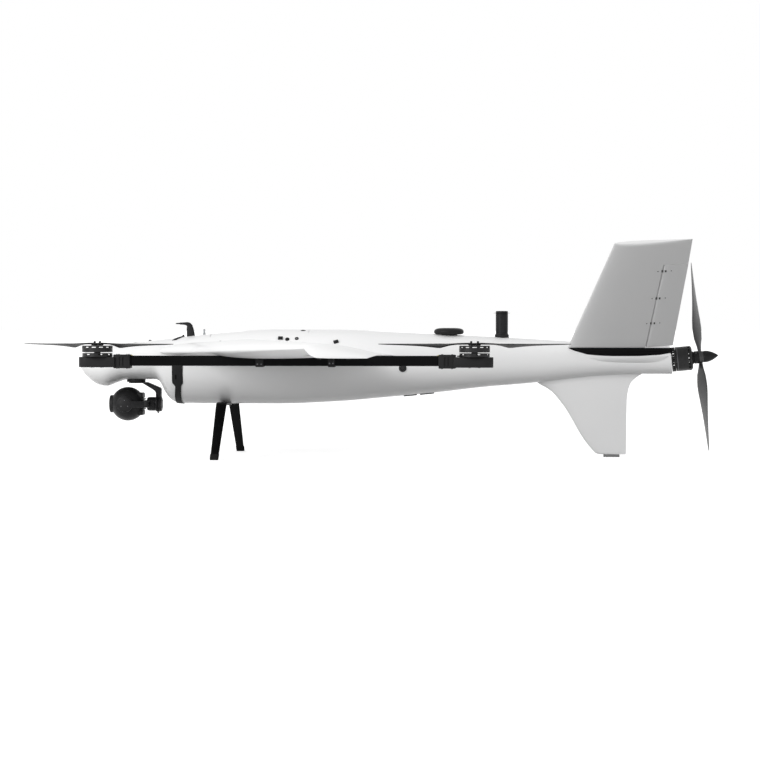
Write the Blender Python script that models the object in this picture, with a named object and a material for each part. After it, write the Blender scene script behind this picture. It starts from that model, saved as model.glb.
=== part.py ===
"""Fixed-wing VTOL drone: V-tail pusher aircraft with four lift rotors on two booms.

Frame: metres, +Z up, nose towards -X, port (left) side towards -Y, ground at Z = 0.
Lengths along the fuselage are given as F, the distance aft of the nose tip.
"""

import math

import bmesh
import bpy
import numpy as np
from mathutils import Matrix, Vector

# ---------------------------------------------------------------- driving dimensions
NOSE_X = -0.93068  # world X of the nose tip
FUSELAGE_LENGTH = 1.825
SKIN = 0.004  # fuselage wall
GAP = 0.0003  # clearance between pieces that touch

BOOM_Y = 0.450  # boom centre, off the centre plane
BOOM_F = (0.1935, 1.1895)
BOOM_W, BOOM_H, BOOM_WALL = 0.026, 0.030, 0.002
BOOM_Z = 0.2990  # boom centre height

MOTOR_F = {"front": 0.1397, "rear": 1.2471}
MOTOR_R = 0.0440
LIFT_PROP_R = 0.2795
LIFT_PROP_Z = 0.3473
LIFT_PROP_TURN = {("front", -1): -28.5, ("front", 1): 90.0, ("rear", -1): 0.0, ("rear", 1): 0.0}

WING_ROOT_Y, WING_SEAM_Y, WING_TIP_Y = 0.200, 1.570, 1.650
AILERON_Y = (0.98, 1.562)
AILERON_HINGE = 0.70  # chord fraction

TAIL_ROOT = (0.045, 0.337)  # lateral, height of the tail panel's root
TAIL_TIP = (0.428, 0.648)
TAIL_HINGE = (0.738, -0.045)  # chord fraction at the root, and its change to the tip
RUDDER_SPAN = (0.020, 0.79)  # of the panel's span

PUSHER_TILT = math.radians(5.5)
PUSHER_BASE = (1.8265, 0.2980)  # F, Z of the motor's mounting face centre
PUSHER_R = 0.0370
PUSHER_PROP_R = 0.2890

GIMBAL_F, GIMBAL_Z = 0.1744, 0.2272  # pan axis, underside of the gimbal plate
CAMERA_F, CAMERA_Z, CAMERA_R = 0.1484, 0.1595, 0.0524

LEG_F, FOOT_Y = 0.4606, 0.2890

# Fuselage stations: F, top height, bottom height, half width
STATIONS = (
    (0.000, 0.2850, 0.2790, 0.004),
    (0.003, 0.3004, 0.2680, 0.018),
    (0.010, 0.3145, 0.2578, 0.032),
    (0.029, 0.3267, 0.2386, 0.052),
    (0.056, 0.3348, 0.2205, 0.069),
    (0.082, 0.3399, 0.2150, 0.078),
    (0.113, 0.3440, 0.2255, 0.086),
    (0.144, 0.3475, 0.2347, 0.092),
    (0.200, 0.3531, 0.2358, 0.099),
    (0.238, 0.3572, 0.2355, 0.103),
    (0.253, 0.3587, 0.2288, 0.104),
    (0.263, 0.3602, 0.2137, 0.105),
    (0.273, 0.3612, 0.1925, 0.106),
    (0.288, 0.3628, 0.1733, 0.108),
    (0.307, 0.3653, 0.1642, 0.110),
    (0.343, 0.3693, 0.1623, 0.112),
    (0.450, 0.3805, 0.1615, 0.119),
    (0.612, 0.3905, 0.1614, 0.124),
    (0.810, 0.3895, 0.1695, 0.122),
    (0.956, 0.3835, 0.1823, 0.113),
    (1.097, 0.3765, 0.1957, 0.100),
    (1.257, 0.3691, 0.2142, 0.083),
    (1.397, 0.3616, 0.2263, 0.069),
    (1.516, 0.3542, 0.2400, 0.059),
    (1.616, 0.3487, 0.2501, 0.052),
    (1.730, 0.3438, 0.2545, 0.047),
    (1.825, 0.3398, 0.2547, 0.0428),
)
SECTION_POWER = 2.25  # superellipse exponent of the fuselage section

# Wing stations: lateral, leading edge F, trailing edge F, leading edge Z, trailing edge Z, rise, depth
WING = (
    (0.060, 0.2560, 1.0010, 0.3205, 0.3125, 0.0340, 0.0135),
    (0.105, 0.2680, 0.9860, 0.3210, 0.3125, 0.0345, 0.0138),
    (0.128, 0.2970, 0.9557, 0.3215, 0.3125, 0.0345, 0.0140),
    (0.155, 0.3374, 0.9134, 0.3220, 0.3125, 0.0355, 0.0143),
    (0.200, 0.3800, 0.8710, 0.3225, 0.3125, 0.0370, 0.0145),
    (0.260, 0.4045, 0.8709, 0.3235, 0.3130, 0.0375, 0.0152),
    (0.450, 0.4724, 0.8980, 0.3260, 0.3152, 0.0385, 0.0172),
    (1.570, 0.8778, 1.0696, 0.3432, 0.3292, 0.0165, 0.0050),
    (1.605, 0.8839, 1.0626, 0.3401, 0.3277, 0.0135, 0.0060),
    (1.628, 0.8929, 1.0555, 0.3336, 0.3257, 0.0105, 0.0055),
    (1.643, 0.9030, 1.0484, 0.3266, 0.3232, 0.0060, 0.0035),
    (1.650, 0.9152, 1.0414, 0.3216, 0.3207, 0.0020, 0.0010),
)


def world_x(f):
    return NOSE_X + f


# ---------------------------------------------------------------- scene and helpers
for old in list(bpy.data.objects):
    bpy.data.objects.remove(old, do_unlink=True)

SCENE = bpy.context.scene.collection
MATERIALS = {}


def material(name, colour, roughness, metallic=0.0):
    if name not in MATERIALS:
        made = bpy.data.materials.new(name)
        made.use_nodes = True
        shader = made.node_tree.nodes["Principled BSDF"]
        shader.inputs["Base Color"].default_value = (*colour, 1.0)
        shader.inputs["Roughness"].default_value = roughness
        shader.inputs["Metallic"].default_value = metallic
        MATERIALS[name] = made
    return MATERIALS[name]


WHITE = material("white_gelcoat", (0.86, 0.86, 0.86), 0.32)
CARBON = material("black_carbon", (0.012, 0.012, 0.013), 0.38)
BLACK = material("black_plastic", (0.02, 0.02, 0.021), 0.45)
DARK = material("dark_anodised", (0.035, 0.035, 0.037), 0.35, 0.6)
GREY = material("grey_rubber", (0.30, 0.30, 0.30), 0.7)
LENS = material("lens_glass", (0.01, 0.01, 0.015), 0.05)
BATTERY = material("battery_wrap", (0.05, 0.08, 0.12), 0.5)
BOARD = material("controller_case", (0.08, 0.08, 0.09), 0.5)
LIGHT_GREY = material("light_grey_plastic", (0.55, 0.56, 0.57), 0.5)


def add(name, verts, faces, mat, at=(0, 0, 0), parent=None, sharp=32.0, merge=True):
    """One object from points that are relative to its origin."""
    bm = bmesh.new()
    made = [bm.verts.new(v) for v in verts]
    for face in faces:
        corners = [made[i] for i in face]
        if len(set(corners)) == len(corners):
            bm.faces.new(corners)
    if merge:
        bmesh.ops.remove_doubles(bm, verts=bm.verts, dist=2e-6)
    bmesh.ops.recalc_face_normals(bm, faces=bm.faces)
    mesh = bpy.data.meshes.new(name)
    bm.to_mesh(mesh)
    bm.free()
    mesh.shade_smooth()
    mesh.set_sharp_from_angle(angle=math.radians(sharp))
    mesh.materials.append(mat)
    obj = bpy.data.objects.new(name, mesh)
    obj.location = at
    obj.parent = parent
    SCENE.objects.link(obj)
    return obj


def axis_empty(name, at, rotation=(0, 0, 0)):
    obj = bpy.data.objects.new(name, None)
    obj.location = at
    obj.rotation_euler = rotation
    obj.empty_display_size = 0.05
    SCENE.objects.link(obj)
    return obj


def as_cutter(obj):
    obj.hide_render = True
    obj.display_type = "WIRE"
    return obj


def boolean(obj, other, operation="DIFFERENCE"):
    step = obj.modifiers.new(f"{operation.lower()}_{other.name}", "BOOLEAN")
    step.operation = operation
    step.object = other
    step.solver = "EXACT"
    return obj


def loft_data(rings):
    """Points and faces of a skin over rings of equal length, closed at both ends."""
    count = len(rings[0])
    verts = [p for ring in rings for p in ring]
    faces = []
    for i in range(len(rings) - 1):
        for j in range(count):
            k = (j + 1) % count
            faces.append((i * count + j, i * count + k, (i + 1) * count + k, (i + 1) * count + j))
    faces.append(tuple(reversed(range(count))))
    faces.append(tuple(range((len(rings) - 1) * count, len(rings) * count)))
    return verts, faces


def loft(name, rings, mat, at=(0, 0, 0), parent=None, sharp=32.0):
    origin = Vector(at)
    moved = [[Vector(p) - origin for p in ring] for ring in rings]
    verts, faces = loft_data(moved)
    return add(name, verts, faces, mat, at, parent, sharp)


def turned_data(profile, segments):
    """Points and faces of a closed profile of (radius, height) turned about Z."""
    verts, faces, rows = [], [], []
    for r, h in profile:
        if r <= 1e-9:
            rows.append([len(verts)] * segments)
            verts.append((0, 0, h))
        else:
            start = len(verts)
            rows.append([start + i for i in range(segments)])
            for i in range(segments):
                a = 2 * math.pi * i / segments
                verts.append((r * math.cos(a), r * math.sin(a), h))
    closed = profile[0][0] > 1e-9 or profile[-1][0] > 1e-9
    pairs = list(zip(rows, rows[1:]))
    if closed:
        pairs.append((rows[-1], rows[0]))
    for low, high in pairs:
        for i in range(segments):
            k = (i + 1) % segments
            face = []
            for v in (low[i], low[k], high[k], high[i]):
                if v not in face:
                    face.append(v)
            if len(face) > 2:
                faces.append(tuple(face))
    return verts, faces


def turned(name, profile, mat, at=(0, 0, 0), segments=20, rotation=None, parent=None, sharp=32.0):
    verts, faces = turned_data(profile, segments)
    if rotation is not None:
        verts = [rotation @ Vector(v) for v in verts]
    return add(name, verts, faces, mat, at, parent, sharp)


def box_data(low, high):
    x0, y0, z0 = low
    x1, y1, z1 = high
    verts = [(x, y, z) for z in (z0, z1) for y in (y0, y1) for x in (x0, x1)]
    faces = [(0, 2, 3, 1), (4, 5, 7, 6), (0, 1, 5, 4), (2, 6, 7, 3), (0, 4, 6, 2), (1, 3, 7, 5)]
    return verts, faces


def block(name, low, high, mat, bevel=0.0, segments=1, at=None, parent=None):
    if at is None:
        at = tuple((a + b) / 2 for a, b in zip(low, high))
    verts, faces = box_data([a - o for a, o in zip(low, at)], [b - o for b, o in zip(high, at)])
    obj = add(name, verts, faces, mat, at, parent)
    if bevel:
        step = obj.modifiers.new("edges", "BEVEL")
        step.width = bevel
        step.segments = segments
        step.limit_method = "ANGLE"
    return obj


def prism(name, outline, low, high, plane, mat, at=(0, 0, 0), parent=None, sharp=32.0):
    """A flat outline with thickness. plane 'XZ' is thick along Y, 'XY' along Z, 'YZ' along X."""
    origin = Vector(at)

    def point(a, b, c):
        return {"XZ": (a, c, b), "XY": (a, b, c), "YZ": (c, a, b)}[plane]

    rings = [[Vector(point(a, b, c)) - origin for a, b in outline] for c in (low, high)]
    verts, faces = loft_data(rings)
    return add(name, verts, faces, mat, at, parent, sharp)


def smooth_between(table, column):
    """A monotone cubic through (key, value) pairs of a table."""
    xs = np.array([row[0] for row in table], float)
    ys = np.array([row[column] for row in table], float)
    h = np.diff(xs)
    d = np.diff(ys) / h
    m = np.zeros(len(xs))
    m[0], m[-1] = d[0], d[-1]
    for i in range(1, len(xs) - 1):
        if d[i - 1] * d[i] > 0:
            w1, w2 = 2 * h[i] + h[i - 1], h[i] + 2 * h[i - 1]
            m[i] = (w1 + w2) / (w1 / d[i - 1] + w2 / d[i])

    def value(x):
        i = int(np.clip(np.searchsorted(xs, x) - 1, 0, len(h) - 1))
        t = float(np.clip((x - xs[i]) / h[i], 0, 1))
        t2, t3 = t * t, t * t * t
        return float(
            ys[i] * (2 * t3 - 3 * t2 + 1)
            + h[i] * m[i] * (t3 - 2 * t2 + t)
            + ys[i + 1] * (3 * t2 - 2 * t3)
            + h[i] * m[i + 1] * (t3 - t2)
        )

    return value


# ---------------------------------------------------------------- fuselage
TOP = smooth_between(STATIONS, 1)
BOTTOM = smooth_between(STATIONS, 2)
HALF_WIDTH = smooth_between(STATIONS, 3)


def section_point(f, angle, grow=0.0):
    """A point of the fuselage skin: angle 0 is starboard, 90 degrees is the top."""
    top, bottom, w = TOP(f) + grow, BOTTOM(f) - grow, HALF_WIDTH(f) + grow
    middle = bottom + 0.50 * (top - bottom)
    c, s = math.cos(angle), math.sin(angle)
    y = w * math.copysign(abs(c) ** (2 / SECTION_POWER), c)
    h = top - middle if s >= 0 else middle - bottom
    z = middle + h * math.copysign(abs(s) ** (2 / SECTION_POWER), s)
    return y, z


def fuselage_ring(f, segments, grow=0.0, lean=0.0):
    ring = []
    for i in range(segments):
        y, z = section_point(f, 2 * math.pi * (i + 0.5) / segments, grow)
        ring.append((world_x(f) - (z - PUSHER_BASE[1]) * math.tan(lean), y, z))
    return ring


def fuselage_rings(segments, grow=0.0):
    rings = []
    keys = [row[0] for row in STATIONS]
    for a, b in zip(keys, keys[1:]):
        steps = 2 if b - a > 0.09 else 1
        rings += [fuselage_ring(a + (b - a) * i / steps, segments, grow) for i in range(steps)]
    rings.append(fuselage_ring(keys[-1], segments, grow, PUSHER_TILT))
    return rings


SEGMENTS = 28
fuselage = loft("fuselage_shell", fuselage_rings(SEGMENTS), WHITE, sharp=40)
clearance = as_cutter(loft("fuselage_clearance", fuselage_rings(SEGMENTS, GAP), WHITE))

cavity_f = (0.310, 0.455, 0.61, 0.81, 0.955, 1.075)
cavity = as_cutter(
    loft("fuselage_cavity", [fuselage_ring(f, 20, -SKIN) for f in cavity_f], WHITE)
)
boolean(fuselage, cavity)

HATCH_F = (0.4142, 0.7187)
HATCH_Y = 0.060
hatch_hole = as_cutter(
    block(
        "hatch_opening",
        (world_x(HATCH_F[0]) - 0.0006, -HATCH_Y - 0.0006, 0.31),
        (world_x(HATCH_F[1]) + 0.0006, HATCH_Y + 0.0006, 0.45),
        WHITE,
    )
)
boolean(fuselage, hatch_hole)

BUTTON_F, BUTTON_Z, BUTTON_R = 1.0121, 0.2727, 0.0090
button_y = -HALF_WIDTH(BUTTON_F)
along_y = Matrix.Rotation(math.radians(90), 3, "X")
button_hole = as_cutter(
    turned(
        "button_hole",
        [(0, -0.03), (BUTTON_R + 0.0004, -0.03), (BUTTON_R + 0.0004, 0.03), (0, 0.03)],
        WHITE,
        (world_x(BUTTON_F), button_y, BUTTON_Z),
        20,
        along_y,
    )
)
boolean(fuselage, button_hole)


def hatch_grid(drop):
    rows = []
    for i in range(9):
        f = HATCH_F[0] + (HATCH_F[1] - HATCH_F[0]) * i / 8
        row = []
        for j in range(7):
            y = -HATCH_Y + 2 * HATCH_Y * j / 6
            top, bottom, w = TOP(f), BOTTOM(f), HALF_WIDTH(f)
            middle = (top + bottom) / 2
            z = middle + (top - middle) * (1 - (abs(y) / w) ** SECTION_POWER) ** (1 / SECTION_POWER)
            row.append((world_x(f), y, z - drop))
        rows.append(row)
    return rows


def slab(name, upper, lower, mat, at=(0, 0, 0)):
    """A closed sheet between two grids of points."""
    origin = Vector(at)
    n, m = len(upper), len(upper[0])
    verts = [Vector(p) - origin for row in upper for p in row] + [Vector(p) - origin for row in lower for p in row]
    half = n * m
    faces = []
    for i in range(n - 1):
        for j in range(m - 1):
            a, b, c, d = i * m + j, i * m + j + 1, (i + 1) * m + j + 1, (i + 1) * m + j
            faces.append((a, b, c, d))
            faces.append((half + d, half + c, half + b, half + a))
    rim = [j for j in range(m)] + [i * m + m - 1 for i in range(1, n)]
    rim += [(n - 1) * m + j for j in range(m - 2, -1, -1)] + [i * m for i in range(n - 2, 0, -1)]
    for a, b in zip(rim, rim[1:] + rim[:1]):
        faces.append((a, half + a, half + b, b))
    return add(name, verts, faces, mat, at)


slab("battery_hatch", hatch_grid(0.0), hatch_grid(0.0030), WHITE, (world_x(0.54), 0, 0.38))

block("battery_pack", (world_x(0.465), -0.052, 0.1840), (world_x(0.675), 0.052, 0.2500), BATTERY, 0.004, 1)
block("flight_controller", (world_x(0.748), -0.034, 0.1900), (world_x(0.848), 0.034, 0.2180), BOARD, 0.003, 1)

turned(
    "power_button",
    [(0, -0.0080), (BUTTON_R, -0.0080), (BUTTON_R, 0.0016), (BUTTON_R - 0.0010, 0.0026), (0, 0.0026)],
    BLACK,
    (world_x(BUTTON_F), button_y, BUTTON_Z),
    20,
    along_y,
)


def band_point(f, angle, lift):
    y, z = section_point(f, angle, lift)
    return (world_x(f), y, z)


def band_edges(height):
    """Front and rear edge of the strap at a height: a wide head that narrows down the side."""
    t = min(max((0.2290 - height) / 0.014, 0.0), 1.0)
    t = t * t * (3 - 2 * t)
    belly = min(max((0.215 - height) / 0.05, 0.0), 1.0)
    front = 0.3040 + 0.0090 * t - 0.0085 * belly
    rear = 0.3380 - 0.0065 * t - 0.0060 * belly
    return front, rear


band_rings = []
first, last = math.radians(162), math.radians(378)
for i in range(27):
    a = first + (last - first) * i / 26
    height = section_point(0.321, a)[1]
    front, rear = band_edges(height)
    middle = (front + rear) / 2
    band_rings.append(
        [
            band_point(front, a, 0.0005),
            band_point(middle, a, 0.0005),
            band_point(rear, a, 0.0005),
            band_point(rear - 0.0008, a, 0.0028),
            band_point(middle, a, 0.0032),
            band_point(front + 0.0008, a, 0.0028),
        ]
    )
loft("nose_strap", band_rings, BLACK)


# ---------------------------------------------------------------- lifting surfaces
def thickness(x):
    """Blunt-nosed thickness form, 1 at its fullest."""
    return (0.2969 * math.sqrt(x) - 0.1260 * x - 0.3516 * x**2 + 0.2843 * x**3 - 0.1036 * x**4) / 0.1000 * 2.0 * 0.5


CHORDWISE = (1.0, 0.86, 0.70, 0.52, 0.35, 0.20, 0.10, 0.04, 0.010)
TRAILING = 0.0007  # half thickness of a trailing edge

wing_columns = [smooth_between(WING, i) for i in range(1, 7)]


def straight(column, y):
    keys = [row[0] for row in WING]
    return float(np.interp(y, keys, [row[column] for row in WING]))


def wing_values(y):
    return [straight(i, y) for i in range(1, 7)]


def wing_height(y, x, upper):
    le, te, zle, zte, rise, depth = wing_values(y)
    z = zle + (zte - zle) * x
    t = thickness(x)
    return z + (rise * t + TRAILING * x) if upper else z - (depth * t + TRAILING * x)


def wing_section(y, side, start=0.0, end=1.0):
    """A ring round the section from start to end of the chord."""
    le, te = wing_values(y)[:2]
    cuts = [start + (end - start) * c for c in CHORDWISE]
    upper = [(world_x(le + (te - le) * x), side * y, wing_height(y, x, True)) for x in cuts]
    lower = [(world_x(le + (te - le) * x), side * y, wing_height(y, x, False)) for x in reversed(cuts)]
    if start <= 0.0:
        nose = (world_x(le), side * y, wing_height(y, 0.0, True))
        return upper + [nose] + lower
    return upper + lower


def aileron_nose(y, side):
    """Centre and radius of the aileron's round nose, whose centre line is the hinge."""
    le, te = wing_values(y)[:2]
    top, low = wing_height(y, AILERON_HINGE, True), wing_height(y, AILERON_HINGE, False)
    radius = (top - low) / 2
    return Vector((world_x(le + (te - le) * AILERON_HINGE) + radius, side * y, (top + low) / 2)), radius


for side, hand in ((-1, "left"), (1, "right")):
    root = loft(
        f"wing_root_{hand}",
        [wing_section(y, side) for y in (0.060, 0.105, 0.128, 0.155, WING_ROOT_Y - GAP)],
        WHITE,
        (world_x(0.60), side * 0.15, 0.32),
    )
    boolean(root, clearance)

    wing = loft(
        f"wing_{hand}",
        [wing_section(y, side) for y in (WING_ROOT_Y, 0.260, 0.450, WING_SEAM_Y - GAP)],
        WHITE,
        (world_x(0.61), side * 0.45, 0.33),
    )
    # the aileron bay: everything behind the hinge line, with 2 mm at each end because the raked hinge swings the ends sideways
    a, b = AILERON_Y
    bay = []
    for y in (a - 0.0020, b + 0.0020):
        p, radius = aileron_nose(y, side)
        wall = p.x - radius - 0.0012
        bay.append([(wall, p.y, 0.28), (wall + 0.20, p.y, 0.28), (wall + 0.20, p.y, 0.40), (wall, p.y, 0.40)])
    boolean(wing, as_cutter(loft(f"aileron_bay_{hand}", bay, WHITE)))

    loft(
        f"wingtip_{hand}",
        [wing_section(y, side) for y in (1.570, 1.590, 1.605, 1.617, 1.628, 1.636, 1.643, 1.650)],
        WHITE,
        (world_x(0.97), side * 1.60, 0.33),
    )

    # aileron: a round nose on the hinge line and the wing's own surfaces behind it
    rings = []
    for y in (a, (a + b) / 2, b):
        p, radius = aileron_nose(y, side)
        le, te = wing_values(y)[:2]
        chord = te - le
        nose = [
            (p.x + radius * math.cos(t), p.y, p.z + radius * math.sin(t))
            for t in [math.radians(d) for d in (100, 126, 153, 180, 207, 234, 260)]
        ]
        cuts = (1.0, 0.90, 0.82)
        upper = [(world_x(le + chord * x), p.y, wing_height(y, x, True)) for x in cuts]
        lower = [(world_x(le + chord * x), p.y, wing_height(y, x, False)) for x in reversed(cuts)]
        rings.append(upper + nose + lower)
    middle = aileron_nose((a + b) / 2, side)[0]
    loft(f"aileron_{hand}", rings, WHITE, tuple(middle))


# ---------------------------------------------------------------- tail
SPAN_Y = TAIL_TIP[0] - TAIL_ROOT[0]
SPAN_Z = TAIL_TIP[1] - TAIL_ROOT[1]
SPAN = math.hypot(SPAN_Y, SPAN_Z)
TAIL_LE, TAIL_TE = (1.5116, 1.6546), (1.8284, 1.8761)
TAIL_HALF = (0.0150, 0.0085)  # half thickness at root and tip
STUB_TOP = 0.3345  # level cut between the panel and its root stub


def tail_point(side, t, f, off):
    """A point of a tail panel: t along its span, off out of its plane (up and inboard is positive)."""
    y = TAIL_ROOT[0] + SPAN_Y * t
    z = TAIL_ROOT[1] + SPAN_Z * t
    ny, nz = -SPAN_Z / SPAN, SPAN_Y / SPAN
    return Vector((world_x(f), side * (y + ny * off), z + nz * off))


def tail_values(t):
    le = TAIL_LE[0] + (TAIL_LE[1] - TAIL_LE[0]) * t
    te = TAIL_TE[0] + (TAIL_TE[1] - TAIL_TE[0]) * t
    half = TAIL_HALF[0] + (TAIL_HALF[1] - TAIL_HALF[0]) * max(t, 0.0)
    return le, te, half


def tail_half(t, x):
    return tail_values(t)[2] * thickness(x) + TRAILING * x


def hinge_cut(t):
    """Where the ruddervator starts, as a fraction of the chord."""
    return TAIL_HINGE[0] + TAIL_HINGE[1] * t


def tail_section(side, t, lean=0.0, start=0.0, narrow=1.0):
    le, te, half = tail_values(t)
    ring = []
    cuts = [start + (1 - start) * c for c in CHORDWISE]
    for x in cuts:
        ring.append(tail_point(side, t + lean * x, le + (te - le) * x, tail_half(t, x) * narrow))
    if start <= 0:
        ring.append(tail_point(side, t, le, 0.0))
    for x in reversed(cuts):
        ring.append(tail_point(side, t + lean * x, le + (te - le) * x, -tail_half(t, x) * narrow))
    return ring


def tail_hinge(side, t):
    """Centre and radius of the ruddervator's round nose, whose centre line is the hinge."""
    le, te, half = tail_values(t)
    radius = tail_half(t, hinge_cut(t))
    return tail_point(side, t, le + (te - le) * hinge_cut(t) + radius, 0.0), radius


for side, hand in ((-1, "left"), (1, "right")):
    fin = loft(
        f"tail_fin_{hand}",
        [
            tail_section(side, -0.07),
            tail_section(side, 0.0),
            tail_section(side, 0.5),
            tail_section(side, 0.955, 0.030),
            tail_section(side, 0.970, 0.034, narrow=0.80),
            tail_section(side, 0.978, 0.036, narrow=0.40),
        ],
        WHITE,
        tuple(tail_point(side, 0.4, 1.60, 0.0)),
    )
    # level with the top of the root stub, and clear of the tail tube
    under = block(f"fin_root_cut_{hand}", (world_x(1.40), -0.3, 0.20), (world_x(1.95), 0.3, STUB_TOP + GAP), WHITE)
    boolean(fin, as_cutter(under))
    boolean(fin, clearance)
    low, high = RUDDER_SPAN
    bay = []
    for t in (-0.09, high + 0.003):
        le, te, half = tail_values(t)
        f = le + (te - le) * hinge_cut(t) - 0.0012
        bay.append([tail_point(side, t, g, off) for g, off in ((f, -0.05), (f + 0.25, -0.05), (f + 0.25, 0.05), (f, 0.05))])
    boolean(fin, as_cutter(loft(f"ruddervator_bay_{hand}", bay, WHITE)))

    rings = []
    for t in (low, (low + high) / 2, high):
        le, te, half = tail_values(t)
        chord = te - le
        hinge_f = le + chord * hinge_cut(t)
        up = tail_half(t, hinge_cut(t))
        ring = [tail_point(side, t, le + chord * x, tail_half(t, x)) for x in (1.0, 0.90, 0.82)]
        for d in (100, 126, 153, 180, 207, 234, 260):
            r = math.radians(d)
            ring.append(tail_point(side, t, hinge_f + up * (math.cos(r) + 1.0), up * math.sin(r)))
        ring += [tail_point(side, t, le + chord * x, -tail_half(t, x)) for x in (0.82, 0.90, 1.0)]
        rings.append(ring)
    loft(f"ruddervator_{hand}", rings, WHITE, tuple(tail_hinge(side, (low + high) / 2)[0]))

    # the black root stub that carries the panel: a bulge on the side of the tail tube
    stub = []
    for z, front, back, wide in ((0.3095, 0.060, -0.020, 0.55), (0.3140, 0.030, -0.006, 0.85), (0.3220, 0.010, 0.0, 1.0), (STUB_TOP, 0.0, 0.0, 1.0)):
        le, te, half = tail_values(0.0)
        y = TAIL_ROOT[0] + (max(z, 0.3220) - TAIL_ROOT[1]) * SPAN_Y / SPAN_Z * 0.5
        ring = []
        for sign, cuts in ((1, CHORDWISE), (-1, tuple(reversed(CHORDWISE)))):
            for x in cuts:
                f = le + front + (te + back - le - front) * x
                ring.append((world_x(f), side * (y + sign * (tail_half(0.0, x) * SPAN / SPAN_Z * wide + 0.0012)), z))
            if sign > 0:
                ring.append((world_x(le + front - 0.0012), side * y, z))
        stub.append(ring)
    base = loft(f"tail_root_{hand}", stub, CARBON, (world_x(1.665), side * 0.05, 0.322))
    boolean(base, clearance)
    middle_plane = as_cutter(
        block(
            f"tail_root_trim_{hand}",
            (world_x(1.40), min(-side * 0.2, side * 0.0006), 0.20),
            (world_x(1.95), max(-side * 0.2, side * 0.0006), 0.50),
            WHITE,
        )
    )
    boolean(base, middle_plane)

# ventral fin: height, leading edge F, trailing edge F, half thickness
VENTRAL = (
    (0.2610, 1.3767, 1.7495, 0.0150),
    (0.2470, 1.3947, 1.7247, 0.0135),
    (0.2260, 1.4207, 1.7030, 0.0122),
    (0.2030, 1.4586, 1.6951, 0.0112),
    (0.1693, 1.4892, 1.6912, 0.0105),
    (0.0200, 1.5882, 1.6890, 0.0072),
    (0.0105, 1.6001, 1.6887, 0.0060),
    (0.0083, 1.6121, 1.6883, 0.0040),
)


def ventral_ring(z, le, te, half):
    ring = []
    for sign, cuts in ((1, CHORDWISE), (-1, tuple(reversed(CHORDWISE)))):
        for x in cuts:
            ring.append((world_x(le + (te - le) * x), sign * (half * thickness(x) + TRAILING * x), z))
        if sign > 0:
            ring.append((world_x(le), 0.0, z))
    return ring


ventral = loft("ventral_fin", [ventral_ring(*row) for row in VENTRAL], WHITE, (world_x(1.615), 0, 0.13))
boolean(ventral, clearance)

SKID_F = (1.6200, 1.6697)
block("tail_skid", (world_x(SKID_F[0]), -0.0065, 0.0), (world_x(SKID_F[1]), 0.0065, 0.0080), GREY, 0.0015, 1)


# ---------------------------------------------------------------- booms and lift units
def blade_table(t):
    """Chord and thickness of a propeller blade as fractions of its radius, t from hub to tip."""
    chord = float(np.interp(t, (0, 0.05, 0.10, 0.22, 0.38, 0.60, 0.85, 0.96, 1.0), (0.075, 0.075, 0.085, 0.150, 0.175, 0.145, 0.092, 0.062, 0.022)))
    thick = float(np.interp(t, (0, 0.05, 0.10, 0.25, 0.6, 1.0), (0.024, 0.024, 0.022, 0.016, 0.010, 0.004)))
    return chord, thick


def propeller_rings(radius, pitch, chord_scale, thick_scale, hand=1, drop=1.0):
    """Rings from tip to tip along X, turning about Z. Positive hand climbs when turned anticlockwise."""
    stops = (1.0, 0.96, 0.85, 0.70, 0.54, 0.38, 0.26, 0.16, 0.09)
    rings = []
    for s, t in [(1, t) for t in stops] + [(-1, t) for t in reversed(stops)]:
        chord, thick = blade_table(t)
        chord, thick = chord * radius * chord_scale, thick * radius * thick_scale
        angle = math.atan2(pitch, 2 * math.pi * max(t, 0.2) * radius)
        angle *= min(max((t - 0.07) / 0.13, 0.0), 1.0) * s * hand
        lead = 0.10 * chord * s * hand
        # the blade is twisted about its upper edge, so that edge stays level
        sink = drop * 0.5 * chord * abs(math.sin(angle)) * min(max((t - 0.18) / 0.15, 0.0), 1.0)
        ring = []
        for u, v in ((-0.5, 0.0), (-0.34, 0.55), (-0.05, 1.0), (0.25, 0.85), (0.5, 0.12), (0.5, -0.12), (0.2, -0.30), (-0.2, -0.42)):
            if s * hand < 0:
                u = -u
            y, z = u * chord + lead, v * thick * 0.6
            ring.append((s * t * radius, y * math.cos(angle) - z * math.sin(angle), y * math.sin(angle) + z * math.cos(angle) - sink))
        if s * hand < 0:
            ring = ring[::-1]
        rings.append(ring)
    return rings


def propeller(name, radius, pitch, mat, parent, height, hub_r, hub_low, hub_high, chord_scale=1.0, thick_scale=1.0, hand=1, turn=0.0, drop=1.0):
    rings = propeller_rings(radius, pitch, chord_scale, thick_scale, hand, drop)
    spin = Matrix.Rotation(math.radians(turn), 3, "Z")
    rings = [[spin @ (Vector(p) + Vector((0, 0, height))) for p in ring] for ring in rings]
    # the rings of the second blade run the other way round: start each at the matching point
    half = len(rings) // 2
    best = min(
        ((sum((rings[half - 1][j] - rings[half][(j * d + k) % 8]).length for j in range(8)), k, d) for k in range(8) for d in (1, -1))
    )
    _, k, d = best
    rings = rings[:half] + [[ring[(j * d + k) % 8] for j in range(8)] for ring in rings[half:]]
    verts, faces = loft_data(rings)
    prop = add(name, verts, faces, mat, (0, 0, 0), parent)
    hub_verts, hub_faces = turned_data([(0, hub_low), (hub_r, hub_low), (hub_r, hub_high), (0, hub_high)], 16)
    hub = as_cutter(add(f"{name}_hub", [spin @ Vector(v) for v in hub_verts], hub_faces, mat, (0, 0, 0), parent))
    boolean(prop, hub, "UNION")
    return prop


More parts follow.
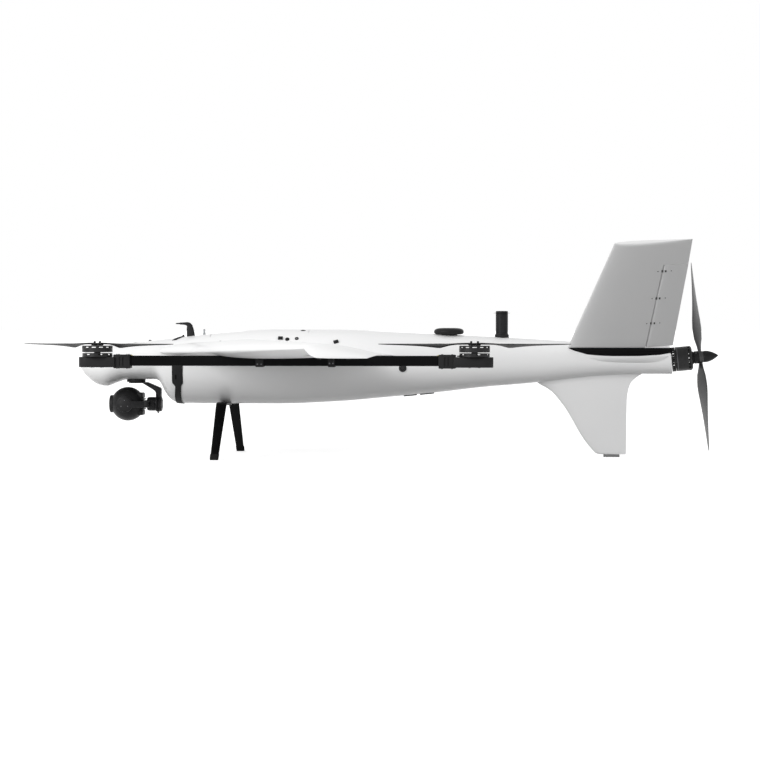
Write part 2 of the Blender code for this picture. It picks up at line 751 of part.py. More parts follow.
MOUNT_TOP = 0.3100
for side, hand in ((-1, "left"), (1, "right")):
    y = side * BOOM_Y
    boom = block(
        f"boom_{hand}",
        (world_x(BOOM_F[0]), y - BOOM_W / 2, BOOM_Z - BOOM_H / 2),
        (world_x(BOOM_F[1]), y + BOOM_W / 2, BOOM_Z + BOOM_H / 2),
        CARBON,
        0.0025,
        2,
    )
    inner = as_cutter(
        block(
            f"boom_bore_{hand}",
            (world_x(BOOM_F[0]) - 0.01, y - BOOM_W / 2 + BOOM_WALL, BOOM_Z - BOOM_H / 2 + BOOM_WALL),
            (world_x(BOOM_F[1]) + 0.01, y + BOOM_W / 2 - BOOM_WALL, BOOM_Z + BOOM_H / 2 - BOOM_WALL),
            CARBON,
        )
    )
    boolean(boom, inner)
    boom_space = as_cutter(
        block(
            f"boom_space_{hand}",
            (world_x(BOOM_F[0]) - GAP, y - BOOM_W / 2 - GAP, BOOM_Z - BOOM_H / 2 - GAP),
            (world_x(BOOM_F[1]) + GAP, y + BOOM_W / 2 + GAP, BOOM_Z + BOOM_H / 2 + GAP),
            CARBON,
        )
    )

    # the boom runs in a slot in the wing's underside, and two collars hold it there
    boolean(bpy.data.objects[f"wing_{hand}"], boom_space)
    for where, f0, f1 in (("fore", 0.6091, 0.6319), ("aft", 0.8213, 0.8410)):
        le, te = wing_values(BOOM_Y)[:2]
        seat = min(wing_height(BOOM_Y, (f - le) / (te - le), False) for f in (f0, f1)) - 0.0012
        collar = block(
            f"boom_clamp_{where}_{hand}",
            (world_x(f0), y - BOOM_W / 2 - 0.0035, BOOM_Z - BOOM_H / 2 - 0.0030),
            (world_x(f1), y + BOOM_W / 2 + 0.0035, seat),
            BLACK,
            0.0010,
            1,
        )
        boolean(collar, boom_space)

    for place in ("front", "rear"):
        way = -1 if place == "front" else 1  # the mount reaches out beyond the boom's end
        motor_f = MOTOR_F[place]
        end_f = BOOM_F[0] if place == "front" else BOOM_F[1]
        # clamp block over the boom's end
        c0, c1 = sorted((end_f - way * 0.046, end_f + way * 0.0030))
        mount = block(
            f"motor_mount_{place}_{hand}",
            (world_x(c0), y - 0.0205, 0.2770),
            (world_x(c1), y + 0.0205, 0.3172),
            BLACK,
            0.0018,
            1,
        )
        # arm with a round end under the motor
        outline = []
        for i in range(11):
            a = math.radians(-90 + 180 * i / 10)
            outline.append((world_x(motor_f) + way * (0.026 + 0.0285 * math.cos(a)), y + 0.0285 * math.sin(a)))
        root_f = world_x(end_f - way * 0.0015)
        outline = [(root_f, y - 0.0285)] + outline + [(root_f, y + 0.0285)]
        if way < 0:
            outline = outline[::-1]
        arm = as_cutter(prism(f"mount_arm_{place}_{hand}", outline, 0.2798, MOUNT_TOP, "XY", BLACK))
        boolean(mount, arm, "UNION")
        boolean(mount, boom_space)

        spin = axis_empty(f"axis_{place}_{hand}", (world_x(motor_f), y, 0.0))
        turned(
            f"lift_stator_{place}_{hand}",
            [(0, MOUNT_TOP + GAP), (0.0420, MOUNT_TOP + GAP), (0.0435, MOUNT_TOP + 0.0020), (0.0435, 0.3215), (0.0400, 0.3225), (0.0345, 0.3225), (0.0345, 0.3370), (0, 0.3370)],
            DARK,
            (world_x(motor_f), y, 0.0),
            20,
        )
        turned(
            f"lift_bell_{place}_{hand}",
            [(0.0385, 0.3240), (MOTOR_R, 0.3240), (MOTOR_R, 0.3415), (0.0415, 0.3436), (0, 0.3436), (0, 0.3395), (0.0385, 0.3395)],
            DARK,
            (0, 0, 0),
            20,
            None,
            spin,
        )
        turn_hand = 1 if (place == "front") == (side < 0) else -1
        propeller(
            f"lift_prop_{place}_{hand}",
            LIFT_PROP_R,
            0.168,
            CARBON,
            spin,
            LIFT_PROP_Z,
            0.0175,
            0.3439,
            0.3545,
            hand=turn_hand,
            turn=LIFT_PROP_TURN[(place, side)],
        )

# ---------------------------------------------------------------- pusher unit
pusher = axis_empty(
    "axis_pusher",
    (world_x(PUSHER_BASE[0]), 0, PUSHER_BASE[1]),
    (0, math.radians(90) - PUSHER_TILT, 0),
)
turned(
    "pusher_stator",
    [(0, 0.0008), (0.0350, 0.0008), (PUSHER_R, 0.0022), (PUSHER_R, 0.0115), (0.0355, 0.0128), (0.0290, 0.0128), (0.0290, 0.0480), (0, 0.0480)],
    DARK,
    (0, 0, 0),
    24,
    None,
    pusher,
)
turned(
    "pusher_bell",
    [(0.0320, 0.0140), (PUSHER_R, 0.0140), (PUSHER_R, 0.0560), (0.0310, 0.0635), (0.0190, 0.0640), (0.0190, 0.0835), (0, 0.0835), (0, 0.0510), (0.0320, 0.0510)],
    DARK,
    (0, 0, 0),
    24,
    None,
    pusher,
)
propeller(
    "pusher_prop",
    PUSHER_PROP_R,
    0.330,
    CARBON,
    pusher,
    0.0875,
    0.0175,
    0.0838,
    0.0985,
    chord_scale=1.12,
    thick_scale=1.25,
    hand=-1,
    turn=0.0,
    drop=0.3,
)
turned(
    "spinner",
    [(0, 0.0988), (0.0172, 0.0988), (0.0172, 0.1060), (0.0150, 0.1160), (0.0110, 0.1280), (0.0060, 0.1380), (0.0022, 0.1425), (0, 0.1432)],
    DARK,
    (0, 0, 0),
    20,
    None,
    pusher,
)

# ---------------------------------------------------------------- camera gimbal
gx, cx = world_x(GIMBAL_F), world_x(CAMERA_F)
plate = turned(
    "gimbal_plate",
    [(0, GIMBAL_Z), (0.0275, GIMBAL_Z), (0.0290, GIMBAL_Z + 0.0015), (0.0290, 0.2600), (0, 0.2600)],
    DARK,
    (gx, 0, 0),
    24,
)
boolean(plate, clearance)

pan = axis_empty("axis_gimbal_pan", (gx, 0, 0.2200))
arm_outline = [(world_x(f), z) for f, z in ((0.1536, 0.2269), (0.1536, 0.2191), (0.1946, 0.2191), (0.2253, 0.2104), (0.2356, 0.2013), (0.2356, 0.1595), (0.2530, 0.1595), (0.2530, 0.2043), (0.2458, 0.2135), (0.2028, 0.2269))]
arm = prism("gimbal_arm", [(x - gx, z - 0.22) for x, z in arm_outline], -0.0125, 0.0125, "XZ", DARK, (0, 0, 0), pan)
along_x = Matrix.Rotation(math.radians(90), 3, "Y")
roll_motor = as_cutter(
    turned("roll_motor_space", [(0, 0.2356), (0.0220, 0.2356), (0.0235, 0.2371), (0.0235, 0.2530), (0.0215, 0.2552), (0, 0.2552)], DARK, (NOSE_X, 0, CAMERA_Z), 20, along_x)
)
boolean(arm, roll_motor, "UNION")

roll = axis_empty("axis_gimbal_roll", (cx, 0, CAMERA_Z))
fork = turned("gimbal_fork", [(0, 0.2100 - CAMERA_F), (0.0215, 0.2100 - CAMERA_F), (0.0215, 0.2350 - CAMERA_F), (0, 0.2350 - CAMERA_F)], DARK, (0, 0, 0), 20, along_x, roll)
yoke_low, yoke_high = 0.0545, 0.0650
bar = as_cutter(block("fork_bar", (world_x(0.2100), -yoke_high, CAMERA_Z - 0.0105), (world_x(0.2223), yoke_high, CAMERA_Z + 0.0105), DARK))
boolean(fork, bar, "UNION")
for side in (-1, 1):
    lo, hi = sorted((side * yoke_low, side * yoke_high))
    outline = []
    for i in range(15):
        a = math.radians(24 + (360 - 48) * i / 14)
        outline.append((cx + 0.0255 * math.cos(a), CAMERA_Z + 0.0255 * math.sin(a)))
    outline += [(world_x(0.2171), CAMERA_Z - 0.0104), (world_x(0.2171), CAMERA_Z + 0.0104)]
    cheek = as_cutter(prism(f"fork_cheek_{'left' if side < 0 else 'right'}", outline, lo, hi, "XZ", DARK))
    boolean(fork, cheek, "UNION")

tilt = axis_empty("axis_camera_tilt", (cx, 0, CAMERA_Z))
ball_profile = []
for i in range(11):
    a = math.radians(-74 + 148 * i / 10)
    ball_profile.append((CAMERA_R * math.cos(a), CAMERA_R * math.sin(a)))
flat_h = ball_profile[-1][1] + 0.0012
ball_profile = [(0, -flat_h)] + ball_profile + [(0, flat_h)]
ball = turned("camera_ball", ball_profile, DARK, (0, 0, 0), 22, along_y, tilt)
lens_seat = as_cutter(
    turned("lens_seat", [(0, -0.0700), (0.0275, -0.0700), (0.0275, -0.0420), (0, -0.0420)], DARK, (cx, 0, CAMERA_Z), 24, along_x)
)
boolean(ball, lens_seat)
turned("camera_lens", [(0, -0.0423), (0, -0.0550), (0.0190, -0.0550), (0.0215, -0.0575), (0.0258, -0.0575), (0.0271, -0.0560), (0.0271, -0.0423)][::-1], LENS, (0, 0, 0), 24, along_x, tilt)

# ---------------------------------------------------------------- landing legs
for side, hand in ((-1, "left"), (1, "right")):
    # lateral, height, half length, half thickness, direction of the blade's thickness
    path = ((0.022, 0.1592), (0.060, 0.1625), (0.100, 0.1667), (0.124, 0.1625), (0.140, 0.1485))
    path += ((FOOT_Y - 0.020, 0.0200),)
    rings = []
    for i, (y, z) in enumerate(path):
        y0, z0 = path[max(i - 1, 0)]
        y1, z1 = path[min(i + 1, len(path) - 1)]
        length = math.hypot(y1 - y0, z1 - z0)
        ny, nz = -(z1 - z0) / length, (y1 - y0) / length
        s = min(i / (len(path) - 1), 1.0)
        half = 0.0175 - 0.0055 * (0.20 - min(z, 0.20)) / 0.20
        th = 0.0029
        rings.append([(world_x(LEG_F) + sx * half, side * (y + sn * ny * th), z + sn * nz * th) for sx, sn in ((-1, -1), (-0.8, 1), (0.8, 1), (1, -1))])
    half = 0.0118
    rings.append([(world_x(LEG_F) + sx * half, side * (FOOT_Y + off), 0.0) for sx, off in ((-1, -0.0042), (-0.8, 0.0042), (0.8, 0.0042), (1, -0.0042))])
    leg = loft(f"leg_{hand}", rings, CARBON, (world_x(LEG_F), side * 0.06, 0.165))
    boolean(leg, clearance)

# ---------------------------------------------------------------- topside fittings
pitot_path = ((0.3485, 0.362, 0.0132, 0.0050), (0.3475, 0.384, 0.0120, 0.0045), (0.3455, 0.399, 0.0105, 0.0040))
rings = []
for f, z, a, b in pitot_path:
    rings.append([(world_x(f) + a * math.cos(t), b * math.sin(t), z) for t in [2 * math.pi * i / 12 for i in range(12)]])
for deg, reach in ((30, 0.0095), (60, 0.0075)):
    r = math.radians(deg)
    centre_f, centre_z = 0.3340, 0.4005
    f, z = centre_f + 0.0115 * math.cos(r), centre_z + 0.0085 * math.sin(r)
    b = 0.0036
    rings.append([(world_x(f) + reach * math.cos(t) * math.cos(r), b * math.sin(t), z + reach * math.cos(t) * math.sin(r) * 0.45) for t in [2 * math.pi * i / 12 for i in range(12)]])
for f, radius in ((0.3280, 0.0040), (0.3120, 0.0032), (0.3070, 0.0022), (0.2985, 0.0018)):
    rings.append([(world_x(f), radius * math.sin(t), 0.4085 + radius * math.cos(t)) for t in [2 * math.pi * i / 12 for i in range(12)]])
pitot = loft("pitot_mast", rings, BLACK, (world_x(0.3485), 0, 0.37))
boolean(pitot, clearance)

# forward-looking sensor: a visor band across the top, swept forward at its sides
SENSOR_F, SENSOR_SWEEP = 0.3187, 7.2
visor = []
for i in range(11):
    a = math.radians(60 + 6 * i)
    f = SENSOR_F
    for _ in range(4):
        f = SENSOR_F - SENSOR_SWEEP * section_point(f, a)[0] ** 2
    visor.append(
        [
            band_point(f - 0.0070, a, 0.0004),
            band_point(f, a, 0.0004),
            band_point(f + 0.0070, a, 0.0004),
            band_point(f + 0.0060, a, 0.0038),
            band_point(f, a, 0.0042),
            band_point(f - 0.0055, a, 0.0034),
        ]
    )
loft("nose_sensor", visor, BLACK)

pin = turned("pin_aerial", [(0, 0.3600), (0.0032, 0.3600), (0.0032, 0.3895), (0.0018, 0.3915), (0, 0.3915)], LIGHT_GREY, (world_x(0.3878), 0, 0), 12)
boolean(pin, clearance)

puck = turned("gps_puck", [(0, 0.3500), (0.0260, 0.3500), (0.0260, 0.3737), (0.0450, 0.3737), (0.0460, 0.3750), (0.0460, 0.3855), (0.0435, 0.3912), (0.0372, 0.3942), (0, 0.3950)], BLACK, (world_x(1.1466), 0, 0), 28)
boolean(puck, clearance)

aerial = turned("telemetry_aerial", [(0, 0.3450), (0.0215, 0.3450), (0.0215, 0.3745), (0.0187, 0.3765), (0.0187, 0.4445), (0.0170, 0.4470), (0, 0.4470)], BLACK, (world_x(1.3092), 0, 0), 24)
boolean(aerial, clearance)
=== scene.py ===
"""Looks of the fixed-wing VTOL drone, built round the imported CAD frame. Metres, nose towards -X."""

import math

import bmesh
import bpy
import numpy as np
from mathutils import Matrix, Vector


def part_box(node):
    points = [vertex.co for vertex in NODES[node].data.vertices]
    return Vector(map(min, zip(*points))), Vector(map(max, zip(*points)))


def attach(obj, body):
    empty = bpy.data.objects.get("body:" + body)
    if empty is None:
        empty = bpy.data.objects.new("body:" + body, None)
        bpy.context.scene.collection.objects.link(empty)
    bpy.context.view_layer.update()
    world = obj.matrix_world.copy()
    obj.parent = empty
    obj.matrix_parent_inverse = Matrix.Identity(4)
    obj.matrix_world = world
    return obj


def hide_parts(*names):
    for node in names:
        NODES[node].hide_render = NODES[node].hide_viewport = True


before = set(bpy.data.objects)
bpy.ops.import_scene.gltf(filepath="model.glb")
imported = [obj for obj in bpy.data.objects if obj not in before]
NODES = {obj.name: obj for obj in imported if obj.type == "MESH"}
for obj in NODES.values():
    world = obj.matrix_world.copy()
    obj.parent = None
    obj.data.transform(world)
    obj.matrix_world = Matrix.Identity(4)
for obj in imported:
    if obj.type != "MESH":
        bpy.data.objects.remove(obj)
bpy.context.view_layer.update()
SCENE = bpy.context.scene
PI = math.pi

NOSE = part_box("fuselage_shell")[0][0]


def X(f):
    return NOSE + f


# ================================================================ materials
def _new(name):
    m = bpy.data.materials.new(name)
    m.use_nodes = True
    nt = m.node_tree
    return m, nt, nt.nodes["Principled BSDF"]


def _coords(nt, scale=(1, 1, 1)):
    tc = nt.nodes.new("ShaderNodeTexCoord")
    mp = nt.nodes.new("ShaderNodeMapping")
    mp.inputs["Scale"].default_value = scale
    nt.links.new(tc.outputs["Object"], mp.inputs["Vector"])
    return mp.outputs["Vector"]


def _noise(nt, vec, scale, detail=3.0, rough=0.5):
    n = nt.nodes.new("ShaderNodeTexNoise")
    n.inputs["Scale"].default_value = scale
    n.inputs["Detail"].default_value = detail
    n.inputs["Roughness"].default_value = rough
    nt.links.new(vec, n.inputs["Vector"])
    return n.outputs["Fac"]


def _range(nt, val, lo, hi, a=0.3, b=0.7):
    r = nt.nodes.new("ShaderNodeMapRange")
    r.inputs["From Min"].default_value, r.inputs["From Max"].default_value = a, b
    r.inputs["To Min"].default_value, r.inputs["To Max"].default_value = lo, hi
    nt.links.new(val, r.inputs["Value"])
    return r.outputs["Result"]


def _mix(nt, fac, a, b):
    m = nt.nodes.new("ShaderNodeMix")
    m.data_type = "RGBA"
    if isinstance(fac, float):
        m.inputs["Factor"].default_value = fac
    else:
        nt.links.new(fac, m.inputs["Factor"])
    for sock, v in (("A", a), ("B", b)):
        s = [i for i in m.inputs if i.name == sock and i.type == "RGBA"][0]
        if isinstance(v, tuple):
            s.default_value = (*v, 1.0)
        else:
            nt.links.new(v, s)
    return [o for o in m.outputs if o.type == "RGBA"][0]


def _math(nt, op, a, b=None):
    n = nt.nodes.new("ShaderNodeMath")
    n.operation = op
    for i, v in enumerate((a, b)):
        if v is None:
            continue
        if isinstance(v, (int, float)):
            n.inputs[i].default_value = v
        else:
            nt.links.new(v, n.inputs[i])
    return n.outputs[0]


def _bump(nt, sh, height, strength, distance):
    b = nt.nodes.new("ShaderNodeBump")
    b.inputs["Strength"].default_value = strength
    b.inputs["Distance"].default_value = distance
    nt.links.new(height, b.inputs["Height"])
    nt.links.new(b.outputs["Normal"], sh.inputs["Normal"])


def _const(sh, metallic=0.0, spec=0.5, coat=0.0, coat_rough=0.1):
    sh.inputs["Metallic"].default_value = metallic
    sh.inputs["Specular IOR Level"].default_value = spec
    sh.inputs["Coat Weight"].default_value = coat
    sh.inputs["Coat Roughness"].default_value = coat_rough


def gelcoat(name, tone=0.86):
    """Sprayed white gelcoat: faint mottling, fine orange peel and a soft clear gloss."""
    m, nt, sh = _new(name)
    vec = _coords(nt)
    broad = _noise(nt, vec, 7.0, 3.0)
    fine = _noise(nt, vec, 420.0, 2.0)
    dust = _noise(nt, vec, 60.0, 5.0, 0.65)
    c = _mix(nt, _range(nt, broad, 0.0, 1.0), (tone * 0.985, tone * 0.987, tone * 0.99), (tone, tone, tone))
    c = _mix(nt, _range(nt, dust, 0.0, 0.05, 0.55, 0.85), c, (tone * 0.80, tone * 0.79, tone * 0.77))
    nt.links.new(c, sh.inputs["Base Color"])
    nt.links.new(_range(nt, dust, 0.30, 0.42), sh.inputs["Roughness"])
    _bump(nt, sh, fine, 0.05, 0.0006)
    _const(sh, 0.0, 0.35, 0.18, 0.16)
    return m


def twill(name, dark=(0.0022, 0.0022, 0.0024), light=(0.0042, 0.0042, 0.0046), k=420.0, spec=0.05, rough=(0.34, 0.46), coat=0.0):
    """Two-by-two twill carbon cloth under resin; the tows run at 45 degrees to the part."""
    m, nt, sh = _new(name)
    tc = nt.nodes.new("ShaderNodeTexCoord")
    sep = nt.nodes.new("ShaderNodeSeparateXYZ")
    nt.links.new(tc.outputs["Object"], sep.inputs[0])
    x, y, z = sep.outputs
    a = _math(nt, "MULTIPLY", _math(nt, "ADD", _math(nt, "ADD", x, y), z), k)
    b = _math(nt, "MULTIPLY", _math(nt, "SUBTRACT", _math(nt, "SUBTRACT", x, y), z), k)
    cell = _math(nt, "ADD", _math(nt, "FLOOR", a), _math(nt, "FLOOR", b))
    which = _math(nt, "LESS_THAN", _math(nt, "FLOORED_MODULO", cell, 4.0), 2.0)
    fa = _math(nt, "SINE", _math(nt, "MULTIPLY", _math(nt, "FRACT", a), PI))
    fb = _math(nt, "SINE", _math(nt, "MULTIPLY", _math(nt, "FRACT", b), PI))
    inv = _math(nt, "SUBTRACT", 1.0, which)
    height = _math(nt, "ADD", _math(nt, "MULTIPLY", fb, which), _math(nt, "MULTIPLY", fa, inv))
    vec = _coords(nt)
    var = _noise(nt, vec, 25.0, 3.0)
    c = _mix(nt, which, dark, light)
    c = _mix(nt, _range(nt, var, 0.0, 0.35), c, tuple(v * 0.6 for v in dark))
    nt.links.new(c, sh.inputs["Base Color"])
    nt.links.new(_range(nt, which, rough[0], rough[1], 0.0, 1.0), sh.inputs["Roughness"])
    _bump(nt, sh, height, 0.12, 0.0004)
    _const(sh, 0.0, spec, coat, 0.12)
    return m


def moulded(name, base, rough=0.5, spec=0.2, grain=900.0, strength=0.12, vary=0.35, metallic=0.0, coat=0.0):
    """Moulded plastic or rubber: fine grain, slight tone and gloss changes."""
    m, nt, sh = _new(name)
    vec = _coords(nt)
    fine = _noise(nt, vec, grain, 2.0)
    broad = _noise(nt, vec, 35.0, 4.0, 0.6)
    hi = tuple(min(v * (1 + vary), 1.0) for v in base)
    c = _mix(nt, _range(nt, broad, 0.0, 1.0), base, hi)
    nt.links.new(c, sh.inputs["Base Color"])
    nt.links.new(_range(nt, broad, rough - 0.06, rough + 0.08), sh.inputs["Roughness"])
    _bump(nt, sh, fine, strength, 0.0003)
    _const(sh, metallic, spec, coat, 0.2)
    return m


def machined(name, base, rough=0.35, metallic=0.9, along=(1, 1, 60), spec=0.4, strength=0.06):
    """Turned or milled metal with fine tool lines and worn lighter patches."""
    m, nt, sh = _new(name)
    lines = _noise(nt, _coords(nt, tuple(40 * v for v in along)), 8.0, 3.0)
    broad = _noise(nt, _coords(nt), 60.0, 4.0, 0.6)
    c = _mix(nt, _range(nt, broad, 0.0, 1.0), base, tuple(min(v * 1.5 + 0.004, 1.0) for v in base))
    nt.links.new(c, sh.inputs["Base Color"])
    nt.links.new(_range(nt, lines, rough - 0.08, rough + 0.08), sh.inputs["Roughness"])
    _bump(nt, sh, lines, strength, 0.0002)
    _const(sh, metallic, spec)
    return m


def windings(name):
    """Enamelled copper wire wound on the stator teeth."""
    m, nt, sh = _new(name)
    w = nt.nodes.new("ShaderNodeTexWave")
    w.bands_direction = "Z"
    w.inputs["Scale"].default_value = 420.0
    w.inputs["Distortion"].default_value = 0.4
    nt.links.new(_coords(nt), w.inputs["Vector"])
    c = _mix(nt, w.outputs["Fac"], (0.16, 0.045, 0.014), (0.60, 0.22, 0.07))
    nt.links.new(c, sh.inputs["Base Color"])
    nt.links.new(_range(nt, w.outputs["Fac"], 0.45, 0.28, 0.0, 1.0), sh.inputs["Roughness"])
    _bump(nt, sh, w.outputs["Fac"], 0.6, 0.0005)
    _const(sh, 0.85, 0.5)
    return m


def lens_glass(name):
    m, nt, sh = _new(name)
    n = _noise(nt, _coords(nt), 40.0, 2.0)
    c = _mix(nt, _range(nt, n, 0.0, 1.0), (0.006, 0.004, 0.012), (0.012, 0.010, 0.030))
    nt.links.new(c, sh.inputs["Base Color"])
    nt.links.new(_range(nt, n, 0.03, 0.06), sh.inputs["Roughness"])
    _const(sh, 0.0, 0.6, 1.0, 0.03)
    return m


GEL = gelcoat("gelcoat_white")
# darker copy of the same white gelcoat: painted shade for the tail panels' outward- and downward-facing surfaces
GEL_TAIL_PAINTED_SHADE = gelcoat("gelcoat_tail_painted_shade", 0.80)
CARBON = twill("carbon_twill")
CARBON_PROP = twill("carbon_prop", (0.0035, 0.0035, 0.0038), (0.006, 0.006, 0.0065), 520.0, 0.06, (0.36, 0.46), 0.0)
CARBON_PUSH = twill("carbon_pusher", (0.018, 0.018, 0.019), (0.030, 0.030, 0.031), 520.0, 0.38, (0.28, 0.38), 0.18)
BLACK = moulded("plastic_black", (0.011, 0.011, 0.0115), 0.48, 0.18)
BLACK_SOFT = moulded("plastic_soft_black", (0.015, 0.015, 0.0155), 0.60, 0.22, 500.0, 0.2)
MOUNT = moulded("mount_nylon", (0.013, 0.013, 0.0135), 0.55, 0.15, 700.0, 0.25)
STRAP = moulded("strap_rubberised", (0.012, 0.012, 0.0125), 0.62, 0.12, 1400.0, 0.3)
DARK = machined("anodised_black", (0.008, 0.008, 0.0085), 0.42, 0.30, (1, 1, 1), 0.18)
MOTOR = machined("motor_can", (0.012, 0.012, 0.0125), 0.36, 0.4, (0.2, 0.2, 3), 0.3)
STEEL = machined("screw_steel", (0.09, 0.09, 0.095), 0.32, 0.9, (1, 1, 1), 0.5)
BRIGHT = machined("shaft_steel", (0.42, 0.42, 0.44), 0.25, 1.0, (1, 1, 3), 0.5)
BRASS = machined("brass", (0.55, 0.40, 0.13), 0.35, 1.0, (1, 1, 1), 0.5)
COPPER = windings("copper_windings")
MAGNET = machined("magnet_nickel", (0.30, 0.30, 0.31), 0.3, 0.9, (1, 1, 1), 0.5)
RUBBER = moulded("skid_rubber", (0.20, 0.20, 0.20), 0.75, 0.25, 1200.0, 0.35)
FOOT = moulded("foot_rubber", (0.010, 0.010, 0.010), 0.8, 0.1, 1200.0, 0.35)
GREY = moulded("plastic_grey", (0.30, 0.31, 0.32), 0.5, 0.3)
LENS = lens_glass("lens_front")
AMBER = moulded("amber_tape", (0.55, 0.46, 0.12), 0.45, 0.4)
BATTERY = moulded("battery_shrink", (0.018, 0.035, 0.070), 0.38, 0.45, 260.0, 0.18, 0.2, 0.0, 0.3)
CASE = moulded("controller_case_black", (0.022, 0.022, 0.024), 0.5, 0.35)
# near-black with almost no gloss, darker than the other blacks: painted shade for recesses and openings
RECESS_SHADE_BLACK = moulded("recess_painted_shade", (0.004, 0.004, 0.004), 0.8, 0.05)


# ================================================================ mesh helpers
def obj_from(name, verts, faces, mats, smooth=35.0, merge=2e-6):
    bm = bmesh.new()
    vs = [bm.verts.new(v) for v in verts]
    for f in faces:
        c = [vs[i] for i in f]
        if len(set(c)) == len(c) and len(c) > 2:
            try:
                bm.faces.new(c)
            except ValueError:
                pass
    bmesh.ops.remove_doubles(bm, verts=bm.verts, dist=merge)
    bmesh.ops.dissolve_degenerate(bm, edges=bm.edges, dist=1e-7)
    bmesh.ops.recalc_face_normals(bm, faces=bm.faces)
    mesh = bpy.data.meshes.new(name)
    bm.to_mesh(mesh)
    bm.free()
    for m in mats if isinstance(mats, (list, tuple)) else [mats]:
        mesh.materials.append(m)
    shade(mesh, smooth)
    o = bpy.data.objects.new(name, mesh)
    SCENE.collection.objects.link(o)
    return o


def shade(mesh, angle):
    mesh.shade_smooth()
    mesh.set_sharp_from_angle(angle=math.radians(angle))


def bake(o, angle=35.0):
    """Applies the object's modifiers to its mesh."""
    bpy.context.view_layer.update()
    dg = bpy.context.evaluated_depsgraph_get()
    new = bpy.data.meshes.new_from_object(o.evaluated_get(dg))
    old = o.data
    o.modifiers.clear()
    o.data = new
    bpy.data.meshes.remove(old)
    if angle is not None:
        shade(o.data, angle)
    return o


def boolean(o, others, op="DIFFERENCE", angle=35.0, remove=True):
    for c in others:
        m = o.modifiers.new("b", "BOOLEAN")
        m.operation, m.object, m.solver = op, c, "EXACT"
    bake(o, angle)
    if remove:
        for c in others:
            drop(c)
    return o


def drop(o):
    bpy.data.objects.remove(o, do_unlink=True)


def bevel(o, width, segments=2, angle=30.0):
    m = o.modifiers.new("bevel", "BEVEL")
    m.width, m.segments, m.limit_method = width, segments, "ANGLE"
    m.angle_limit = math.radians(angle)
    m.harden_normals = False
    return bake(o, 35.0)


def put(o, body, slot, *nodes):
    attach(o, body)
    if nodes:
        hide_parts(*nodes)
    return o


def loft(name, rings, mat, smooth=35.0, caps=True):
    n = len(rings[0])
    verts = [tuple(p) for r in rings for p in r]
    faces = []
    for i in range(len(rings) - 1):
        for j in range(n):
            k = (j + 1) % n
            faces.append((i * n + j, i * n + k, (i + 1) * n + k, (i + 1) * n + j))
    if caps:
        faces.append(tuple(reversed(range(n))))
        faces.append(tuple(range((len(rings) - 1) * n, len(rings) * n)))
    return obj_from(name, verts, faces, mat, smooth)


def turned(name, profile, mat, at=(0, 0, 0), rot=None, seg=64, smooth=35.0):
    """A closed profile of (radius, height) turned about Z, then rotated and placed."""
    verts, rows, faces = [], [], []
    for r, h in profile:
        if r <= 1e-9:
            rows.append([len(verts)] * seg)
            verts.append(Vector((0, 0, h)))
        else:
            s = len(verts)
            rows.append([s + i for i in range(seg)])
            verts += [Vector((r * math.cos(2 * PI * i / seg), r * math.sin(2 * PI * i / seg), h)) for i in range(seg)]
    pairs = list(zip(rows, rows[1:]))
    if profile[0][0] > 1e-9 or profile[-1][0] > 1e-9:
        pairs.append((rows[-1], rows[0]))
    for lo, hi in pairs:
        for i in range(seg):
            k = (i + 1) % seg
            f = []
            for v in (lo[i], lo[k], hi[k], hi[i]):
                if v not in f:
                    f.append(v)
            if len(f) > 2:
                faces.append(tuple(f))
    if rot is not None:
        verts = [rot @ v for v in verts]
    at = Vector(at)
    return obj_from(name, [v + at for v in verts], faces, mat, smooth)


def box(name, lo, hi, mat, width=0.0, segments=2, rot=None, at=None):
    """A bevelled block; rot turns it about at, or about its own centre."""
    c = Vector([(a + b) / 2 for a, b in zip(lo, hi)]) if at is None else Vector(at)
    v = [Vector((x, y, z)) for z in (lo[2], hi[2]) for y in (lo[1], hi[1]) for x in (lo[0], hi[0])]
    if rot is not None:
        v = [rot @ (p - c) + c for p in v]
    o = obj_from(name, v, [(0, 2, 3, 1), (4, 5, 7, 6), (0, 1, 5, 4), (2, 6, 7, 3), (0, 4, 6, 2), (1, 3, 7, 5)], mat)
    if width:
        bevel(o, width, segments)
    return o


def prism(name, outline, lo, hi, plane, mat, smooth=35.0):
    def p(a, b, c):
        return {"XZ": (a, c, b), "XY": (a, b, c), "YZ": (c, a, b)}[plane]
    return loft(name, [[p(a, b, c) for a, b in outline] for c in (lo, hi)], mat, smooth)


def join(name, objs):
    """Joins separate solids into one piece, keeping their materials."""
    objs = [o for o in objs if o]
    mats, verts, faces, index, smooth = [], [], [], [], []
    for o in objs:
        base = len(verts)
        table = []
        for m in o.data.materials:
            if m not in mats:
                mats.append(m)
            table.append(mats.index(m))
        mw = o.matrix_world
        verts += [tuple(mw @ v.co) for v in o.data.vertices]
        for p in o.data.polygons:
            faces.append(tuple(base + i for i in p.vertices))
            index.append(table[p.material_index])
    mesh = bpy.data.meshes.new(name)
    mesh.from_pydata(verts, [], faces)
    for m in mats:
        mesh.materials.append(m)
    mesh.polygons.foreach_set("material_index", index)
    shade(mesh, 35.0)
    new = bpy.data.objects.new(name, mesh)
    SCENE.collection.objects.link(new)
    for o in objs:
        drop(o)
    return new


def along(direction):
    """Rotation that takes +Z to a direction."""
    return Vector((0, 0, 1)).rotation_difference(Vector(direction).normalized()).to_matrix()


def screw(at, direction, r=0.0026, h=0.0018, mat=None):
    """A cap screw head with a hexagon socket."""
    mat = mat or STEEL
    prof = [(r * 0.52, h * 0.35), (r * 0.52, h), (r * 0.86, h), (r, h * 0.8), (r, -0.0006), (0, -0.0006), (0, h * 0.35)]
    return turned("screw", prof, mat, at, along(direction), 18, 30.0)


